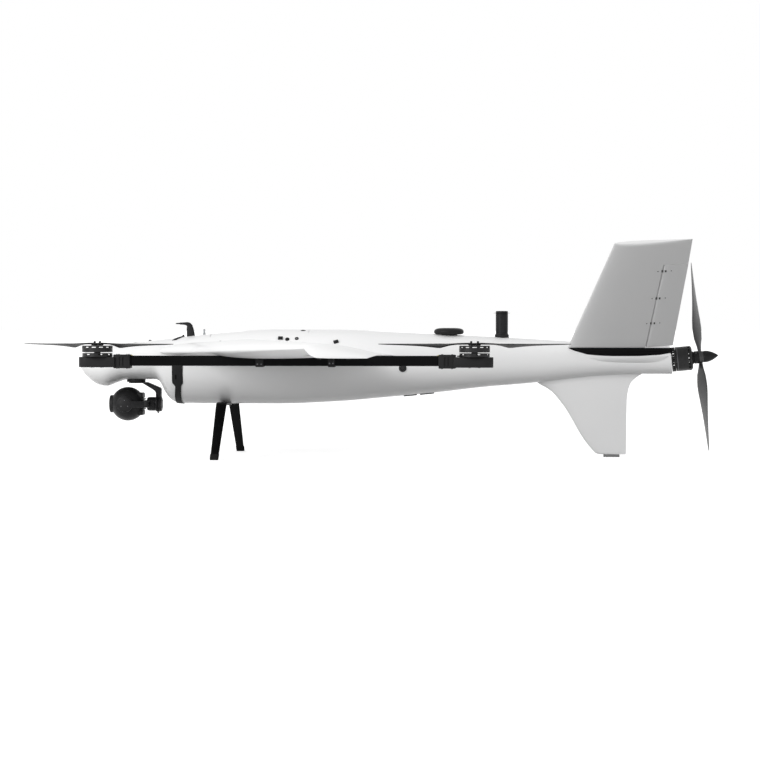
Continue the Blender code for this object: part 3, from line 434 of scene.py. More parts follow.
def smooth_table(table, column):
    xs = np.array([row[0] for row in table], float)
    ys = np.array([row[column] for row in table], float)
    h = np.diff(xs)
    d = np.diff(ys) / h
    m = np.zeros(len(xs))
    m[0], m[-1] = d[0], d[-1]
    for i in range(1, len(xs) - 1):
        if d[i - 1] * d[i] > 0:
            w1, w2 = 2 * h[i] + h[i - 1], h[i] + 2 * h[i - 1]
            m[i] = (w1 + w2) / (w1 / d[i - 1] + w2 / d[i])

    def value(x):
        i = int(np.clip(np.searchsorted(xs, x) - 1, 0, len(h) - 1))
        t = float(np.clip((x - xs[i]) / h[i], 0, 1))
        t2, t3 = t * t, t * t * t
        return float(ys[i] * (2 * t3 - 3 * t2 + 1) + h[i] * m[i] * (t3 - 2 * t2 + t) + ys[i + 1] * (3 * t2 - 2 * t3) + h[i] * m[i + 1] * (t3 - t2))

    return value


# ================================================================ fuselage
STATIONS = (
    (0.000, 0.2850, 0.2790, 0.004), (0.003, 0.3004, 0.2680, 0.018), (0.010, 0.3145, 0.2578, 0.032),
    (0.029, 0.3267, 0.2386, 0.052), (0.056, 0.3348, 0.2205, 0.069), (0.082, 0.3399, 0.2150, 0.078),
    (0.113, 0.3440, 0.2255, 0.086), (0.144, 0.3475, 0.2347, 0.092), (0.200, 0.3531, 0.2358, 0.099),
    (0.238, 0.3572, 0.2355, 0.103), (0.253, 0.3587, 0.2288, 0.104), (0.263, 0.3602, 0.2137, 0.105),
    (0.273, 0.3612, 0.1925, 0.106), (0.288, 0.3628, 0.1733, 0.108), (0.307, 0.3653, 0.1642, 0.110),
    (0.343, 0.3693, 0.1623, 0.112), (0.450, 0.3805, 0.1615, 0.119), (0.612, 0.3905, 0.1614, 0.124),
    (0.810, 0.3895, 0.1695, 0.122), (0.956, 0.3835, 0.1823, 0.113), (1.097, 0.3765, 0.1957, 0.100),
    (1.257, 0.3691, 0.2142, 0.083), (1.397, 0.3616, 0.2263, 0.069), (1.516, 0.3542, 0.2400, 0.059),
    (1.616, 0.3487, 0.2501, 0.052), (1.730, 0.3438, 0.2545, 0.047), (1.825, 0.3398, 0.2547, 0.0428),
)
POWER = 2.25
TOP, BOTTOM, HALF = (smooth_table(STATIONS, i) for i in (1, 2, 3))
HATCH_F, HATCH_Y = (0.4142, 0.7187), 0.060
BUTTON_F, BUTTON_Z = 1.0121, 0.2727
TILT = math.radians(5.5)
PUSH_F, PUSH_Z = 1.8265, 0.2980


def section(f, angle, grow=0.0):
    top, bottom, w = TOP(f) + grow, BOTTOM(f) - grow, HALF(f) + grow
    mid = (top + bottom) / 2
    c, s = math.cos(angle), math.sin(angle)
    y = w * math.copysign(abs(c) ** (2 / POWER), c)
    z = mid + (top - mid) * math.copysign(abs(s) ** (2 / POWER), s)
    return y, z


def skin_point(f, angle, grow=0.0, lean=0.0):
    y, z = section(f, angle, grow)
    return Vector((X(f) - (z - PUSH_Z) * math.tan(lean), y, z))


def skin_normal(f, angle):
    e = 1e-3
    du = skin_point(f + e, angle) - skin_point(f - e, angle)
    dv = skin_point(f, angle + e) - skin_point(f, angle - e)
    n = dv.cross(du).normalized()
    y, z = section(f, angle)
    mid = (TOP(f) + BOTTOM(f)) / 2
    return n if n.dot(Vector((0, y, z - mid))) > 0 else -n


def angle_at(f, y=None, z=None, side=-1):
    """The section angle at a height or at a lateral position of the upper half."""
    best, value = 0.0, 1e9
    for i in range(721):
        a = math.radians(90 + (i - 360) * 0.25) if y is not None else math.radians(i * 0.25 - 90)
        yy, zz = section(f, a)
        e = abs(yy - y) if y is not None else abs(zz - z)
        if e < value:
            best, value = a, e
    if z is not None and side < 0:
        best = PI - best
    return best


def fuselage_mesh(name, mat, segments=112, grow=0.0, start=0.0, end=1.825):
    fs = [0.0, 0.0008, 0.002, 0.004, 0.007, 0.010, 0.014, 0.019, 0.025, 0.032, 0.040, 0.048]
    f = 0.056
    while f < 0.34:
        fs.append(f)
        f += 0.0052
    while f < 1.80:
        fs.append(f)
        f += 0.0130
    fs += [1.812, 1.825]
    rings = []
    for f in fs:
        lean = TILT if f >= 1.825 else 0.0
        rings.append([skin_point(f, 2 * PI * (i + 0.5) / segments, grow, lean) for i in range(segments)])
    return loft(name, rings, mat, 40.0)


skin = fuselage_mesh("fuselage_skin", GEL)
# side bulges that carry the tail panels' root stubs
for side in (-1, 1):
    rings = []
    steps = 16
    for i in range(steps + 1):
        u = i / steps
        z = 0.2860 + (0.3092 - 0.2860) * u
        reach = math.sin(u * PI / 2) ** 0.6
        f0, f1 = 1.545 - 0.033 * u, 1.800 + 0.028 * u
        ring = []
        for sgn, cuts in ((1, range(0, 25)), (-1, range(23, 0, -1))):
            for j in cuts:
                x = j / 24
                half = 0.0225 * (1 - abs(2 * x - 1) ** 2.2) ** 0.8 * reach + 0.0004
                y = 0.0385 + sgn * half if sgn > 0 else 0.0385 - 0.004
                ring.append((X(f0 + (f1 - f0) * x), side * y, z))
        rings.append(ring)
    bulge = loft("bulge", rings, GEL)
    boolean(skin, [bulge], "UNION", None)
cavity_f = [0.310 + (1.075 - 0.310) * i / 24 for i in range(25)]
cavity = loft("cavity", [[skin_point(f, 2 * PI * (i + 0.5) / 64, -0.004) for i in range(64)] for f in cavity_f], GREY)
opening = box("opening", (X(HATCH_F[0]) - 0.0008, -HATCH_Y - 0.0008, 0.31), (X(HATCH_F[1]) + 0.0008, HATCH_Y + 0.0008, 0.45), GEL, 0.006, 4)
hole = turned("hole", [(0, -0.03), (0.0096, -0.03), (0.0096, 0.03), (0, 0.03)], GEL, (X(BUTTON_F), -HALF(BUTTON_F), BUTTON_Z), along((0, 1, 0)), 40)
boolean(skin, [cavity, opening, hole], "DIFFERENCE", 32.0)
put(skin, "airframe", "white_gelcoat", "fuselage_shell")

# hatch lid: a curved sheet that follows the back, with rolled edges
def lid_point(u, v, dropped):
    f = HATCH_F[0] + 0.0002 + (HATCH_F[1] - HATCH_F[0] - 0.0004) * u
    y = -HATCH_Y + 0.0002 + (2 * HATCH_Y - 0.0004) * v
    mid = (TOP(f) + BOTTOM(f)) / 2
    z = mid + (TOP(f) - mid) * (1 - (abs(y) / HALF(f)) ** POWER) ** (1 / POWER)
    edge = min(u * 0.3045, (1 - u) * 0.3045, v * 0.12, (1 - v) * 0.12)
    roll = 0.0008 * max(0.0, 1 - edge / 0.0012) ** 2 if not dropped else 0.0
    return Vector((X(f), y, z - dropped - roll))


us = [0, 0.002, 0.004, 0.008] + [i / 60 for i in range(1, 60)] + [0.992, 0.996, 0.998, 1]
vs = [0, 0.005, 0.010, 0.020] + [i / 24 for i in range(1, 24)] + [0.98, 0.99, 0.995, 1]
verts = [lid_point(u, v, 0.0) for u in us for v in vs] + [lid_point(u, v, 0.0028) for u in us for v in vs]
n, m, half = len(us), len(vs), len(us) * len(vs)
faces = []
for i in range(n - 1):
    for j in range(m - 1):
        a, b, c, d = i * m + j, i * m + j + 1, (i + 1) * m + j + 1, (i + 1) * m + j
        faces += [(a, b, c, d), (half + d, half + c, half + b, half + a)]
rim = list(range(m)) + [i * m + m - 1 for i in range(1, n)] + [(n - 1) * m + j for j in range(m - 2, -1, -1)] + [i * m for i in range(n - 2, 0, -1)]
faces += [(a, half + a, half + b, b) for a, b in zip(rim, rim[1:] + rim[:1])]
lid = obj_from("battery_hatch_lid", verts, faces, GEL, 40.0)
corner = []
for sx, f in ((1, HATCH_F[0]), (-1, HATCH_F[1])):
    for sy in (-1, 1):
        r = 0.0058
        cx, cy = X(f) + sx * (r + 0.0002), sy * (HATCH_Y - 0.0002 - r)
        pts = [(X(f) - sx * 0.002, sy * (HATCH_Y + 0.002))]
        pts += [(cx - sx * r * math.cos(t), cy + sy * r * math.sin(t)) for t in [PI / 2 * k / 8 for k in range(9)]]
        # the square corner left outside the rounded one
        pts = [(X(f) - sx * 0.002, cy)] + pts[1:] + [(cx, sy * (HATCH_Y + 0.002)), pts[0]]
        corner.append(prism("corner", pts, 0.34, 0.42, "XY", GEL))
boolean(lid, corner, "DIFFERENCE", 32.0)
latches = [lid]
for f, y in ((0.700, -0.036), (0.700, 0.036)):
    a = angle_at(f, y=y)
    p, nrm = skin_point(f, a), skin_normal(f, a)
    rot = along(nrm)
    latches.append(turned("latch", [(0, 0.0005), (0.0070, 0.0005), (0.0078, 0.0003), (0.0080, -0.001), (0, -0.001)], BLACK_SOFT, p, rot, 40))
    latches.append(box("latch_slot", (p.x - 0.0055, p.y - 0.0008, p.z + 0.0002), (p.x + 0.0055, p.y + 0.0008, p.z + 0.0008), STEEL, 0.0002, 1, rot, p))
lid = join("battery_hatch_lid", latches)
put(lid, "hatch", "white_gelcoat", "battery_hatch")

# frame round the opening: the thin rebate that the lid sits on
lip = []
for fa, fb, ya, yb in (
    (HATCH_F[0] + 0.0006, HATCH_F[0] + 0.007, -HATCH_Y, HATCH_Y),
    (HATCH_F[1] - 0.007, HATCH_F[1] - 0.0006, -HATCH_Y, HATCH_Y),
):
    rings = []
    for j in range(25):
        y = ya + (yb - ya) * j / 24
        ring = []
        for f, dz in ((fa, 0.0036), (fb, 0.0036), (fb, 0.0052), (fa, 0.0052)):
            mid = (TOP(f) + BOTTOM(f)) / 2
            z = mid + (TOP(f) - mid) * (1 - (abs(y) / HALF(f)) ** POWER) ** (1 / POWER)
            ring.append((X(f), y, z - dz))
        rings.append(ring)
    lip.append(loft("lip", rings, BLACK_SOFT))
for s in (-1, 1):
    rings = []
    for j in range(41):
        f = HATCH_F[0] + 0.007 + (HATCH_F[1] - HATCH_F[0] - 0.014) * j / 40
        ring = []
        for y, dz in ((HATCH_Y, 0.0036), (HATCH_Y - 0.0065, 0.0036), (HATCH_Y - 0.0065, 0.0052), (HATCH_Y, 0.0052)):
            mid = (TOP(f) + BOTTOM(f)) / 2
            z = mid + (TOP(f) - mid) * (1 - (abs(y) / HALF(f)) ** POWER) ** (1 / POWER)
            ring.append((X(f), s * y, z - dz))
        rings.append(ring)
    lip.append(loft("lip", rings, BLACK_SOFT))
put(join("hatch_rebate", lip), "airframe", "black_plastic")

# power button with a raised ring and a domed key
by = -HALF(BUTTON_F)
key = turned("power_button_key", [(0, 0.0028), (0.0035, 0.0028), (0.0062, 0.0024), (0.0080, 0.0018), (0.0088, 0.0008), (0.0089, -0.0080), (0, -0.0080)], BLACK_SOFT, (X(BUTTON_F), by, BUTTON_Z), along((0, -1, 0)), 48)
put(key, "power_button", "black_plastic", "power_button")
ring = turned("power_button_bezel", [(0.0094, 0.0014), (0.0104, 0.0016), (0.0114, 0.0010), (0.0118, -0.0030), (0.0094, -0.0030)], BLACK, (X(BUTTON_F), by, BUTTON_Z), along((0, -1, 0)), 48)
put(ring, "airframe", "black_plastic")


# ================================================================ wings
WING = (
    (0.060, 0.2560, 1.0010, 0.3205, 0.3125, 0.0340, 0.0135), (0.105, 0.2680, 0.9860, 0.3210, 0.3125, 0.0345, 0.0138),
    (0.128, 0.2970, 0.9557, 0.3215, 0.3125, 0.0345, 0.0140), (0.155, 0.3374, 0.9134, 0.3220, 0.3125, 0.0355, 0.0143),
    (0.200, 0.3800, 0.8710, 0.3225, 0.3125, 0.0370, 0.0145), (0.260, 0.4045, 0.8709, 0.3235, 0.3130, 0.0375, 0.0152),
    (0.450, 0.4724, 0.8980, 0.3260, 0.3152, 0.0385, 0.0172), (1.570, 0.8778, 1.0696, 0.3432, 0.3292, 0.0165, 0.0050),
    (1.605, 0.8839, 1.0626, 0.3401, 0.3277, 0.0135, 0.0060), (1.628, 0.8929, 1.0555, 0.3336, 0.3257, 0.0105, 0.0055),
    (1.643, 0.9030, 1.0484, 0.3266, 0.3232, 0.0060, 0.0035), (1.650, 0.9152, 1.0414, 0.3216, 0.3207, 0.0020, 0.0010),
)
TRAIL = 0.0007
AIL_Y, AIL_X = (0.98, 1.562), 0.70
CHORD = sorted({round(0.5 - 0.5 * math.cos(PI * i / 52), 6) for i in range(53)})
_keys = [row[0] for row in WING]
_curves = [smooth_table(WING[:7], i) for i in range(1, 7)]
_tips = [smooth_table(WING[7:], i) for i in range(1, 7)]


def thick(x):
    return 0.2969 * math.sqrt(x) / 0.1 - (0.1260 * x + 0.3516 * x**2 - 0.2843 * x**3 + 0.1036 * x**4) / 0.1


def wing_row(y):
    if y < 0.45:
        return [c(y) for c in _curves]
    if y > 1.57:
        return [c(y) for c in _tips]
    return [float(np.interp(y, _keys, [row[i] for row in WING])) for i in range(1, 7)]


def wing_z(row, x, upper):
    le, te, zl, zt, rise, depth = row
    t = thick(max(x, 0.0))
    return zl + (zt - zl) * x + ((rise * t + TRAIL * x) if upper else -(depth * t + TRAIL * x))


def wing_ring(y, side, inset=0.0):
    row = wing_row(y)
    le, te = row[0], row[1]
    up = [(X(le + (te - le) * x), side * y, wing_z(row, x, True)) for x in reversed(CHORD)]
    lo = [(X(le + (te - le) * x), side * y, wing_z(row, x, False)) for x in CHORD[1:]]
    return up + lo


def span(a, b, n):
    return [a + (b - a) * i / n for i in range(n + 1)]


def ail_nose(y, side):
    row = wing_row(y)
    top, low = wing_z(row, AIL_X, True), wing_z(row, AIL_X, False)
    r = (top - low) / 2
    return Vector((X(row[0] + (row[1] - row[0]) * AIL_X) + r, side * y, (top + low) / 2)), r


BOOM_Y, BOOM_Z = 0.450, 0.2990
for side, hand in ((-1, "left"), (1, "right")):
    root = loft("wing_root_skin", [wing_ring(y, side) for y in span(0.060, 0.1992, 26)], GEL, 40.0)
    root.name = f"wing_root_skin_{hand}"
    put(root, "airframe", "white_gelcoat", f"wing_root_{hand}")

    wing = loft(f"wing_skin_{hand}", [wing_ring(y, side) for y in span(0.2006, 0.450, 16) + span(0.450, 1.5690, 40)[1:]], GEL, 40.0)
    bay = []
    for y in (AIL_Y[0] - 0.0020, AIL_Y[1] + 0.0020):
        p, r = ail_nose(y, side)
        w = p.x - r - 0.0012
        bay.append([(w, p.y, 0.28), (w + 0.20, p.y, 0.28), (w + 0.20, p.y, 0.40), (w, p.y, 0.40)])
    slot = box("boom_slot", (X(0.1935), side * BOOM_Y - 0.0133, BOOM_Z - 0.0153), (X(1.1895), side * BOOM_Y + 0.0133, BOOM_Z + 0.0153), GEL)
    boolean(wing, [loft("bay", bay, GEL), slot], "DIFFERENCE", 32.0)
    put(wing, "airframe", "white_gelcoat", f"wing_{hand}")

    ys = [1.5708] + span(1.573, 1.605, 6) + span(1.608, 1.643, 12)[0:] + [1.645, 1.6475, 1.6492, 1.65]
    tip = loft(f"wingtip_skin_{hand}", [wing_ring(y, side) for y in ys], GEL, 50.0)
    put(tip, "airframe", "white_gelcoat", f"wingtip_{hand}")

    rings = []
    for y in span(AIL_Y[0], AIL_Y[1], 20):
        p, r = ail_nose(y, side)
        row = wing_row(y)
        c = row[1] - row[0]
        xs = [1.0, 0.97, 0.94, 0.90, 0.86, 0.82, 0.79, 0.765]
        ring = [(X(row[0] + c * x), p.y, wing_z(row, x, True)) for x in xs]
        ring += [(p.x + r * math.cos(t), p.y, p.z + r * math.sin(t)) for t in [math.radians(d) for d in range(96, 265, 8)]]
        ring += [(X(row[0] + c * x), p.y, wing_z(row, x, False)) for x in reversed(xs)]
        rings.append(ring)
    ail = loft(f"aileron_skin_{hand}", rings, GEL, 40.0)
    put(ail, "aileron_" + hand, "white_gelcoat", f"aileron_{hand}")

    # aileron hinge leaves on the underside and the control horn
    bits = []
    for y in (1.04, 1.27, 1.50):
        p, r = ail_nose(y, side)
        row = wing_row(y)
        bits.append(box("leaf", (p.x - r - 0.020, p.y - 0.007, wing_z(row, AIL_X - 0.06, False) - 0.0012), (p.x - r - 0.0015, p.y + 0.007, wing_z(row, AIL_X - 0.03, False) + 0.0012), BLACK, 0.0004, 1))
        for dx in (-0.016, -0.008):
            bits.append(screw((p.x - r + dx, p.y, wing_z(row, AIL_X - 0.05, False) - 0.0010), (0, 0, -1), 0.0018, 0.0010))
    # flush servo cover ahead of the aileron
    y = 1.20
    p, r = ail_nose(y, side)
    row = wing_row(y)
    xs0 = (p.x - 0.085 - X(row[0])) / (row[1] - row[0])
    zc = wing_z(row, xs0, False)
    bits.append(box("servo_cover", (p.x - 0.105, p.y - 0.020, zc - 0.0013), (p.x - 0.055, p.y + 0.020, zc + 0.0030), GEL, 0.0010, 2))
    bits.append(box("servo_arm", (p.x - 0.072, p.y - 0.0015, zc - 0.0110), (p.x - 0.064, p.y + 0.0015, zc + 0.001), BLACK, 0.0006, 1))
    put(join(f"aileron_hinges_{hand}", bits), "airframe", "black_plastic")
    horn = prism("horn", [(p.x + 0.004, p.z - r - 0.012), (p.x + 0.009, p.z - r - 0.012), (p.x + 0.020, p.z - r + 0.003), (p.x - 0.001, p.z - r + 0.003)], p.y - 0.0012, p.y + 0.0012, "XZ", BLACK)
    put(join(f"aileron_horn_{hand}", [horn]), "aileron_" + hand, "black_plastic")

    # panel joint screws on top of the wing root
    bits = []
    for f, y in ((0.47, 0.214), (0.66, 0.214), (0.80, 0.214)):
        row = wing_row(y)
        x = (f - row[0]) / (row[1] - row[0])
        bits.append(screw((X(f), side * y, wing_z(row, x, True) - 0.0002), (0, 0, 1), 0.0030, 0.0009))
    put(join(f"wing_root_screws_{hand}", bits), "airframe", "dark_anodised")

# ================================================================ tail
ROOT, TIP = (0.045, 0.337), (0.428, 0.648)
SY, SZ = TIP[0] - ROOT[0], TIP[1] - ROOT[1]
SPAN = math.hypot(SY, SZ)
T_LE, T_TE, T_HALF = (1.5116, 1.6546), (1.8284, 1.8761), (0.0150, 0.0085)
RUD = (0.0180, 0.79)
STUB_TOP = 0.3345


def tail_point(side, t, f, off):
    ny, nz = -SZ / SPAN, SY / SPAN
    return Vector((X(f), side * (ROOT[0] + SY * t + ny * off), ROOT[1] + SZ * t + nz * off))


def tail_values(t):
    return T_LE[0] + (T_LE[1] - T_LE[0]) * t, T_TE[0] + (T_TE[1] - T_TE[0]) * t, T_HALF[0] + (T_HALF[1] - T_HALF[0]) * max(t, 0.0)


def tail_half(t, x):
    return tail_values(t)[2] * thick(max(x, 0.0)) + TRAIL * x


def hinge_cut(t):
    return 0.738 - 0.045 * t


def tail_ring(side, t, lean=0.0, narrow=1.0):
    le, te, _ = tail_values(t)
    up = [tail_point(side, t + lean * x, le + (te - le) * x, tail_half(t, x) * narrow) for x in reversed(CHORD)]
    lo = [tail_point(side, t + lean * x, le + (te - le) * x, -tail_half(t, x) * narrow) for x in CHORD[1:]]
    return up + lo


for side, hand in ((-1, "left"), (1, "right")):
    rings = [tail_ring(side, t, 0.030 * min(max((t - 0.7) / 0.255, 0), 1)) for t in span(-0.07, 0.955, 30)]
    rings += [tail_ring(side, 0.955 + 0.020 * math.sin(a), 0.030 + 0.006 * math.sin(a), 0.35 + 0.65 * math.cos(a)) for a in [math.radians(d) for d in (15, 30, 45, 60, 75, 88)]]
    # the tail panel takes the darker gelcoat copy, which is painted shade
    fin = loft(f"tail_panel_{hand}", rings, GEL_TAIL_PAINTED_SHADE, 40.0)
    under = box("under", (X(1.40), -0.3, 0.20), (X(1.95), 0.3, STUB_TOP + 0.0004), GEL)
    inner = fuselage_mesh("inner", GEL, 64, 0.0004)
    bay = []
    for t in (-0.09, RUD[1] + 0.003):
        le, te, _ = tail_values(t)
        f = le + (te - le) * hinge_cut(t) - 0.0012
        bay.append([tail_point(side, t, g, off) for g, off in ((f, -0.05), (f + 0.25, -0.05), (f + 0.25, 0.05), (f, 0.05))])
    boolean(fin, [under, inner, loft("bay", bay, GEL)], "DIFFERENCE", 32.0)
    put(fin, "airframe", "white_gelcoat", f"tail_fin_{hand}")

    rings = []
    for t in span(RUD[0], RUD[1], 24):
        le, te, _ = tail_values(t)
        c = te - le
        x0 = hinge_cut(t)
        up = tail_half(t, x0)
        xs = [1.0, 0.975, 0.95, 0.92, 0.89, 0.86, 0.83, 0.80]
        ring = [tail_point(side, t, le + c * x, tail_half(t, x)) for x in xs]
        ring += [tail_point(side, t, le + c * x0 + up * (math.cos(a) + 1), up * math.sin(a)) for a in [math.radians(d) for d in range(96, 265, 8)]]
        ring += [tail_point(side, t, le + c * x, -tail_half(t, x)) for x in reversed(xs)]
        rings.append(ring)
    # the ruddervator takes the darker gelcoat copy, which is painted shade
    put(loft(f"ruddervator_panel_{hand}", rings, GEL_TAIL_PAINTED_SHADE, 40.0), "ruddervator_" + hand, "white_gelcoat", f"ruddervator_{hand}")

    # three hinges: a strap with its screw on the panel and another on the ruddervator
    fixed, moving = [], []
    for t in (0.2505, 0.4855, 0.7355):
        le, te, _ = tail_values(t)
        c = te - le
        x0 = hinge_cut(t)
        up = tail_half(t, x0)
        f = le + c * x0 + up
        for face in (-1, 1):
            def at(df, off, dt=0.0):
                x = (f + df - le) / c
                return tail_point(side, t + dt, f + df, face * (tail_half(t, x) + off))
            nrm = (tail_point(side, t, f, face) - tail_point(side, t, f, 0.0)).normalized()
            spanwise = (tail_point(side, t + 0.01, f, 0) - tail_point(side, t, f, 0)).normalized()
            def plate(f0, f1, w, h, mat):
                pts = []
                for df, dt in ((f0, -w), (f1, -w), (f1, w), (f0, w)):
                    pts.append((at(df, -0.0006) + spanwise * dt, at(df, h) + spanwise * dt))
                return loft("plate", [[a for a, b in pts], [b for a, b in pts]], mat)
            fixed.append(plate(-0.0092, -0.0054, 0.0042, 0.0009, BLACK))
            fixed.append(screw(at(-0.0195, 0.0), nrm, 0.0016, 0.0008, BLACK_SOFT))
            moving.append(plate(0.0010, 0.0054, 0.0042, 0.0009, BLACK))
            moving.append(screw(at(0.0195, 0.0), nrm, 0.0016, 0.0008, BLACK_SOFT))
        if abs(t - 0.4855) < 0.01:
            # control horn on the inner face
            p0 = at(0.004, 0.0)
            out = (tail_point(side, t, f, 1) - tail_point(side, t, f, 0)).normalized()
            base = tail_point(side, t, f + 0.010, tail_half(t, x0) - 0.001)
            pts = [base + Vector((-0.006, 0, 0)), base + Vector((0.008, 0, 0)), base + out * 0.011 + Vector((0.001, 0, 0)), base + out * 0.011 + Vector((-0.004, 0, 0))]
            moving.append(loft("horn", [[q - spanwise * 0.0009 for q in pts], [q + spanwise * 0.0009 for q in pts]], BLACK))
    put(join(f"tail_hinges_{hand}", fixed), "airframe", "black_plastic")
    put(join(f"ruddervator_hinges_{hand}", moving), "ruddervator_" + hand, "black_plastic")

# ventral fin with a flared root and a grey skid
VENTRAL = (
    (0.0083, 1.6121, 1.6883, 0.0040), (0.0105, 1.6001, 1.6887, 0.0060), (0.0200, 1.5882, 1.6890, 0.0072),
    (0.1693, 1.4892, 1.6912, 0.0105), (0.2030, 1.4586, 1.6951, 0.0112), (0.2260, 1.4207, 1.7030, 0.0122),
    (0.2470, 1.3947, 1.7247, 0.0135), (0.2610, 1.3767, 1.7495, 0.0150),
)
vcol = [smooth_table(VENTRAL, i) for i in (1, 2, 3)]
rings = []
for z in [0.0083, 0.0088, 0.0096, 0.0105, 0.013, 0.016] + span(0.020, 0.160, 14) + span(0.166, 0.261, 24):
    le, te, hw = (c(z) for c in vcol)
    up = [(X(le + (te - le) * x), hw * thick(x) + TRAIL * x, z) for x in reversed(CHORD)]
    lo = [(X(le + (te - le) * x), -(hw * thick(x) + TRAIL * x), z) for x in CHORD[1:]]
    rings.append(up + lo)
put(loft("ventral_fin_skin", rings, GEL, 45.0), "airframe", "white_gelcoat", "ventral_fin")

lo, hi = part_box("tail_skid")
skid = box("tail_skid_pad", (lo[0], lo[1], 0.0), (hi[0], hi[1], hi[2]), RUBBER, 0.0016, 3)
grooves = [box("g", (lo[0] + 0.006 + 0.0095 * i, lo[1] - 0.01, -0.01), (lo[0] + 0.0075 + 0.0095 * i, hi[1] + 0.01, 0.0012), RUBBER) for i in range(4)]
boolean(skid, grooves, "DIFFERENCE", 30.0)
put(skid, "airframe", "grey_rubber", "tail_skid")


def finish_node(node, mat, slot_name, width=0.0, segments=2):
    """A CAD node whose shape stays: its material, and soft edges from a modifier."""
    o = NODES[node]
    o.data.materials.clear()
    o.data.materials.append(mat)
    if width:
        b = o.modifiers.new("edges", "BEVEL")
        b.width, b.segments, b.limit_method, b.angle_limit = width, segments, "ANGLE", math.radians(40)
    return o


# ================================================================ booms and lift units
def blade_rings(radius, chord, angle, thick_, s, hand, drop, stops, sweep=0.0):
    """Sections of one blade along +X or -X; the section's upper edge stays level as it twists."""
    rings = []
    for t in stops:
        c = chord(t) * radius
        a = math.radians(angle(t)) * s * hand
        th = thick_(t) * radius
        lead = 0.10 * c * s * hand
        sink = drop * 0.5 * c * abs(math.sin(a))
        ring = []
        n = 11
        us = [-0.5 * math.cos(PI * i / n) for i in range(n + 1)]
        top = [(u, 0.5 * th * math.sqrt(max(0.0, 1 - (2 * u) ** 2)) * (1 - 0.35 * (u + 0.5)) * 1.5) for u in us]
        bot = [(u, -0.5 * th * math.sqrt(max(0.0, 1 - (2 * u) ** 2)) * 0.45) for u in us[1:-1]]
        for u, v in top + list(reversed(bot)):
            uu = u * s * hand
            y, z = uu * c + lead, v
            ring.append(Vector((s * t * radius, y * math.cos(a) - z * math.sin(a), y * math.sin(a) + z * math.cos(a) - sink)))
        rings.append(ring)
    return rings


def table(*pairs):
    xs, ys = [p[0] for p in pairs], [p[1] for p in pairs]
    return lambda t: float(np.interp(t, xs, ys))


def prop_mesh(name, radius, chord, angle, thick_, hand, drop, mat, turn, height, place, hub):
    """Two blades that run into a hub; place is a 4x4 from the rotor's axis to the world."""
    stops = [0.045, 0.065, 0.09, 0.12, 0.15, 0.19, 0.23, 0.27, 0.31, 0.35, 0.39, 0.43, 0.48, 0.54, 0.60, 0.66, 0.72, 0.78, 0.84, 0.89, 0.93, 0.96, 0.98, 0.992, 1.0]
    spin = Matrix.Rotation(math.radians(turn), 4, "Z")
    parts = []
    for s in (1, -1):
        rings = blade_rings(radius, chord, angle, thick_, s, hand, drop, stops)
        rings = [[place @ spin @ (p + Vector((0, 0, height))) for p in r] for r in rings]
        parts.append(loft("blade", rings, mat, 50.0))
    for prof, seg, m in hub:
        h = turned("hub", prof, m, (0, 0, 0), None, seg)
        h.data.transform(place @ spin)
        parts.append(h)
    return parts, place @ spin


def ring_with_windows(name, r_in, r_out, z0, z1, w0, w1, count, duty, phase, mat, place, seg=144):
    """A cylinder wall with a row of windows cut through it; phase is an angle, or a list of (angle, half width)."""
    wall = turned(name, [(r_in, z0), (r_out, z0), (r_out, z1), (r_in, z1)], mat, (0, 0, 0), None, seg, 30.0)
    cutters = []
    spots = phase if isinstance(phase, list) else [(phase + 2 * PI * i / count, PI / count * duty) for i in range(count)]
    for a, d in spots:
        pts = [(math.cos(a + d * k / 3) * rr, math.sin(a + d * k / 3) * rr) for rr, ks in ((r_in - 0.004, range(-3, 4)), (r_out + 0.004, range(3, -4, -1))) for k in ks]
        cutters.append(prism("w", pts, w0, w1, "XY", mat))
    boolean(wall, cutters, "DIFFERENCE", 30.0)
    wall.data.transform(place)
    return wall


MOTOR_F = {"front": 0.1397, "rear": 1.2471}
BOOM_F = (0.1935, 1.1895)
MT = 0.3100
LIFT_TURN = {("front", -1): -28.5, ("front", 1): 90.0, ("rear", -1): 0.0, ("rear", 1): 0.0}
lift_chord = table((0, 0.060), (0.06, 0.062), (0.10, 0.068), (0.18, 0.085), (0.27, 0.140), (0.36, 0.178), (0.48, 0.165), (0.62, 0.138), (0.80, 0.100), (0.93, 0.070), (0.98, 0.046), (1.0, 0.020))
lift_angle = table((0, 0), (0.12, 1.5), (0.20, 4.0), (0.27, 8.5), (0.34, 15.0), (0.38, 15.0), (0.46, 11.5), (0.60, 8.5), (0.80, 6.5), (1.0, 5.0))
lift_thick = table((0, 0.024), (0.10, 0.022), (0.25, 0.018), (0.6, 0.0140), (0.9, 0.0120), (1.0, 0.0080))

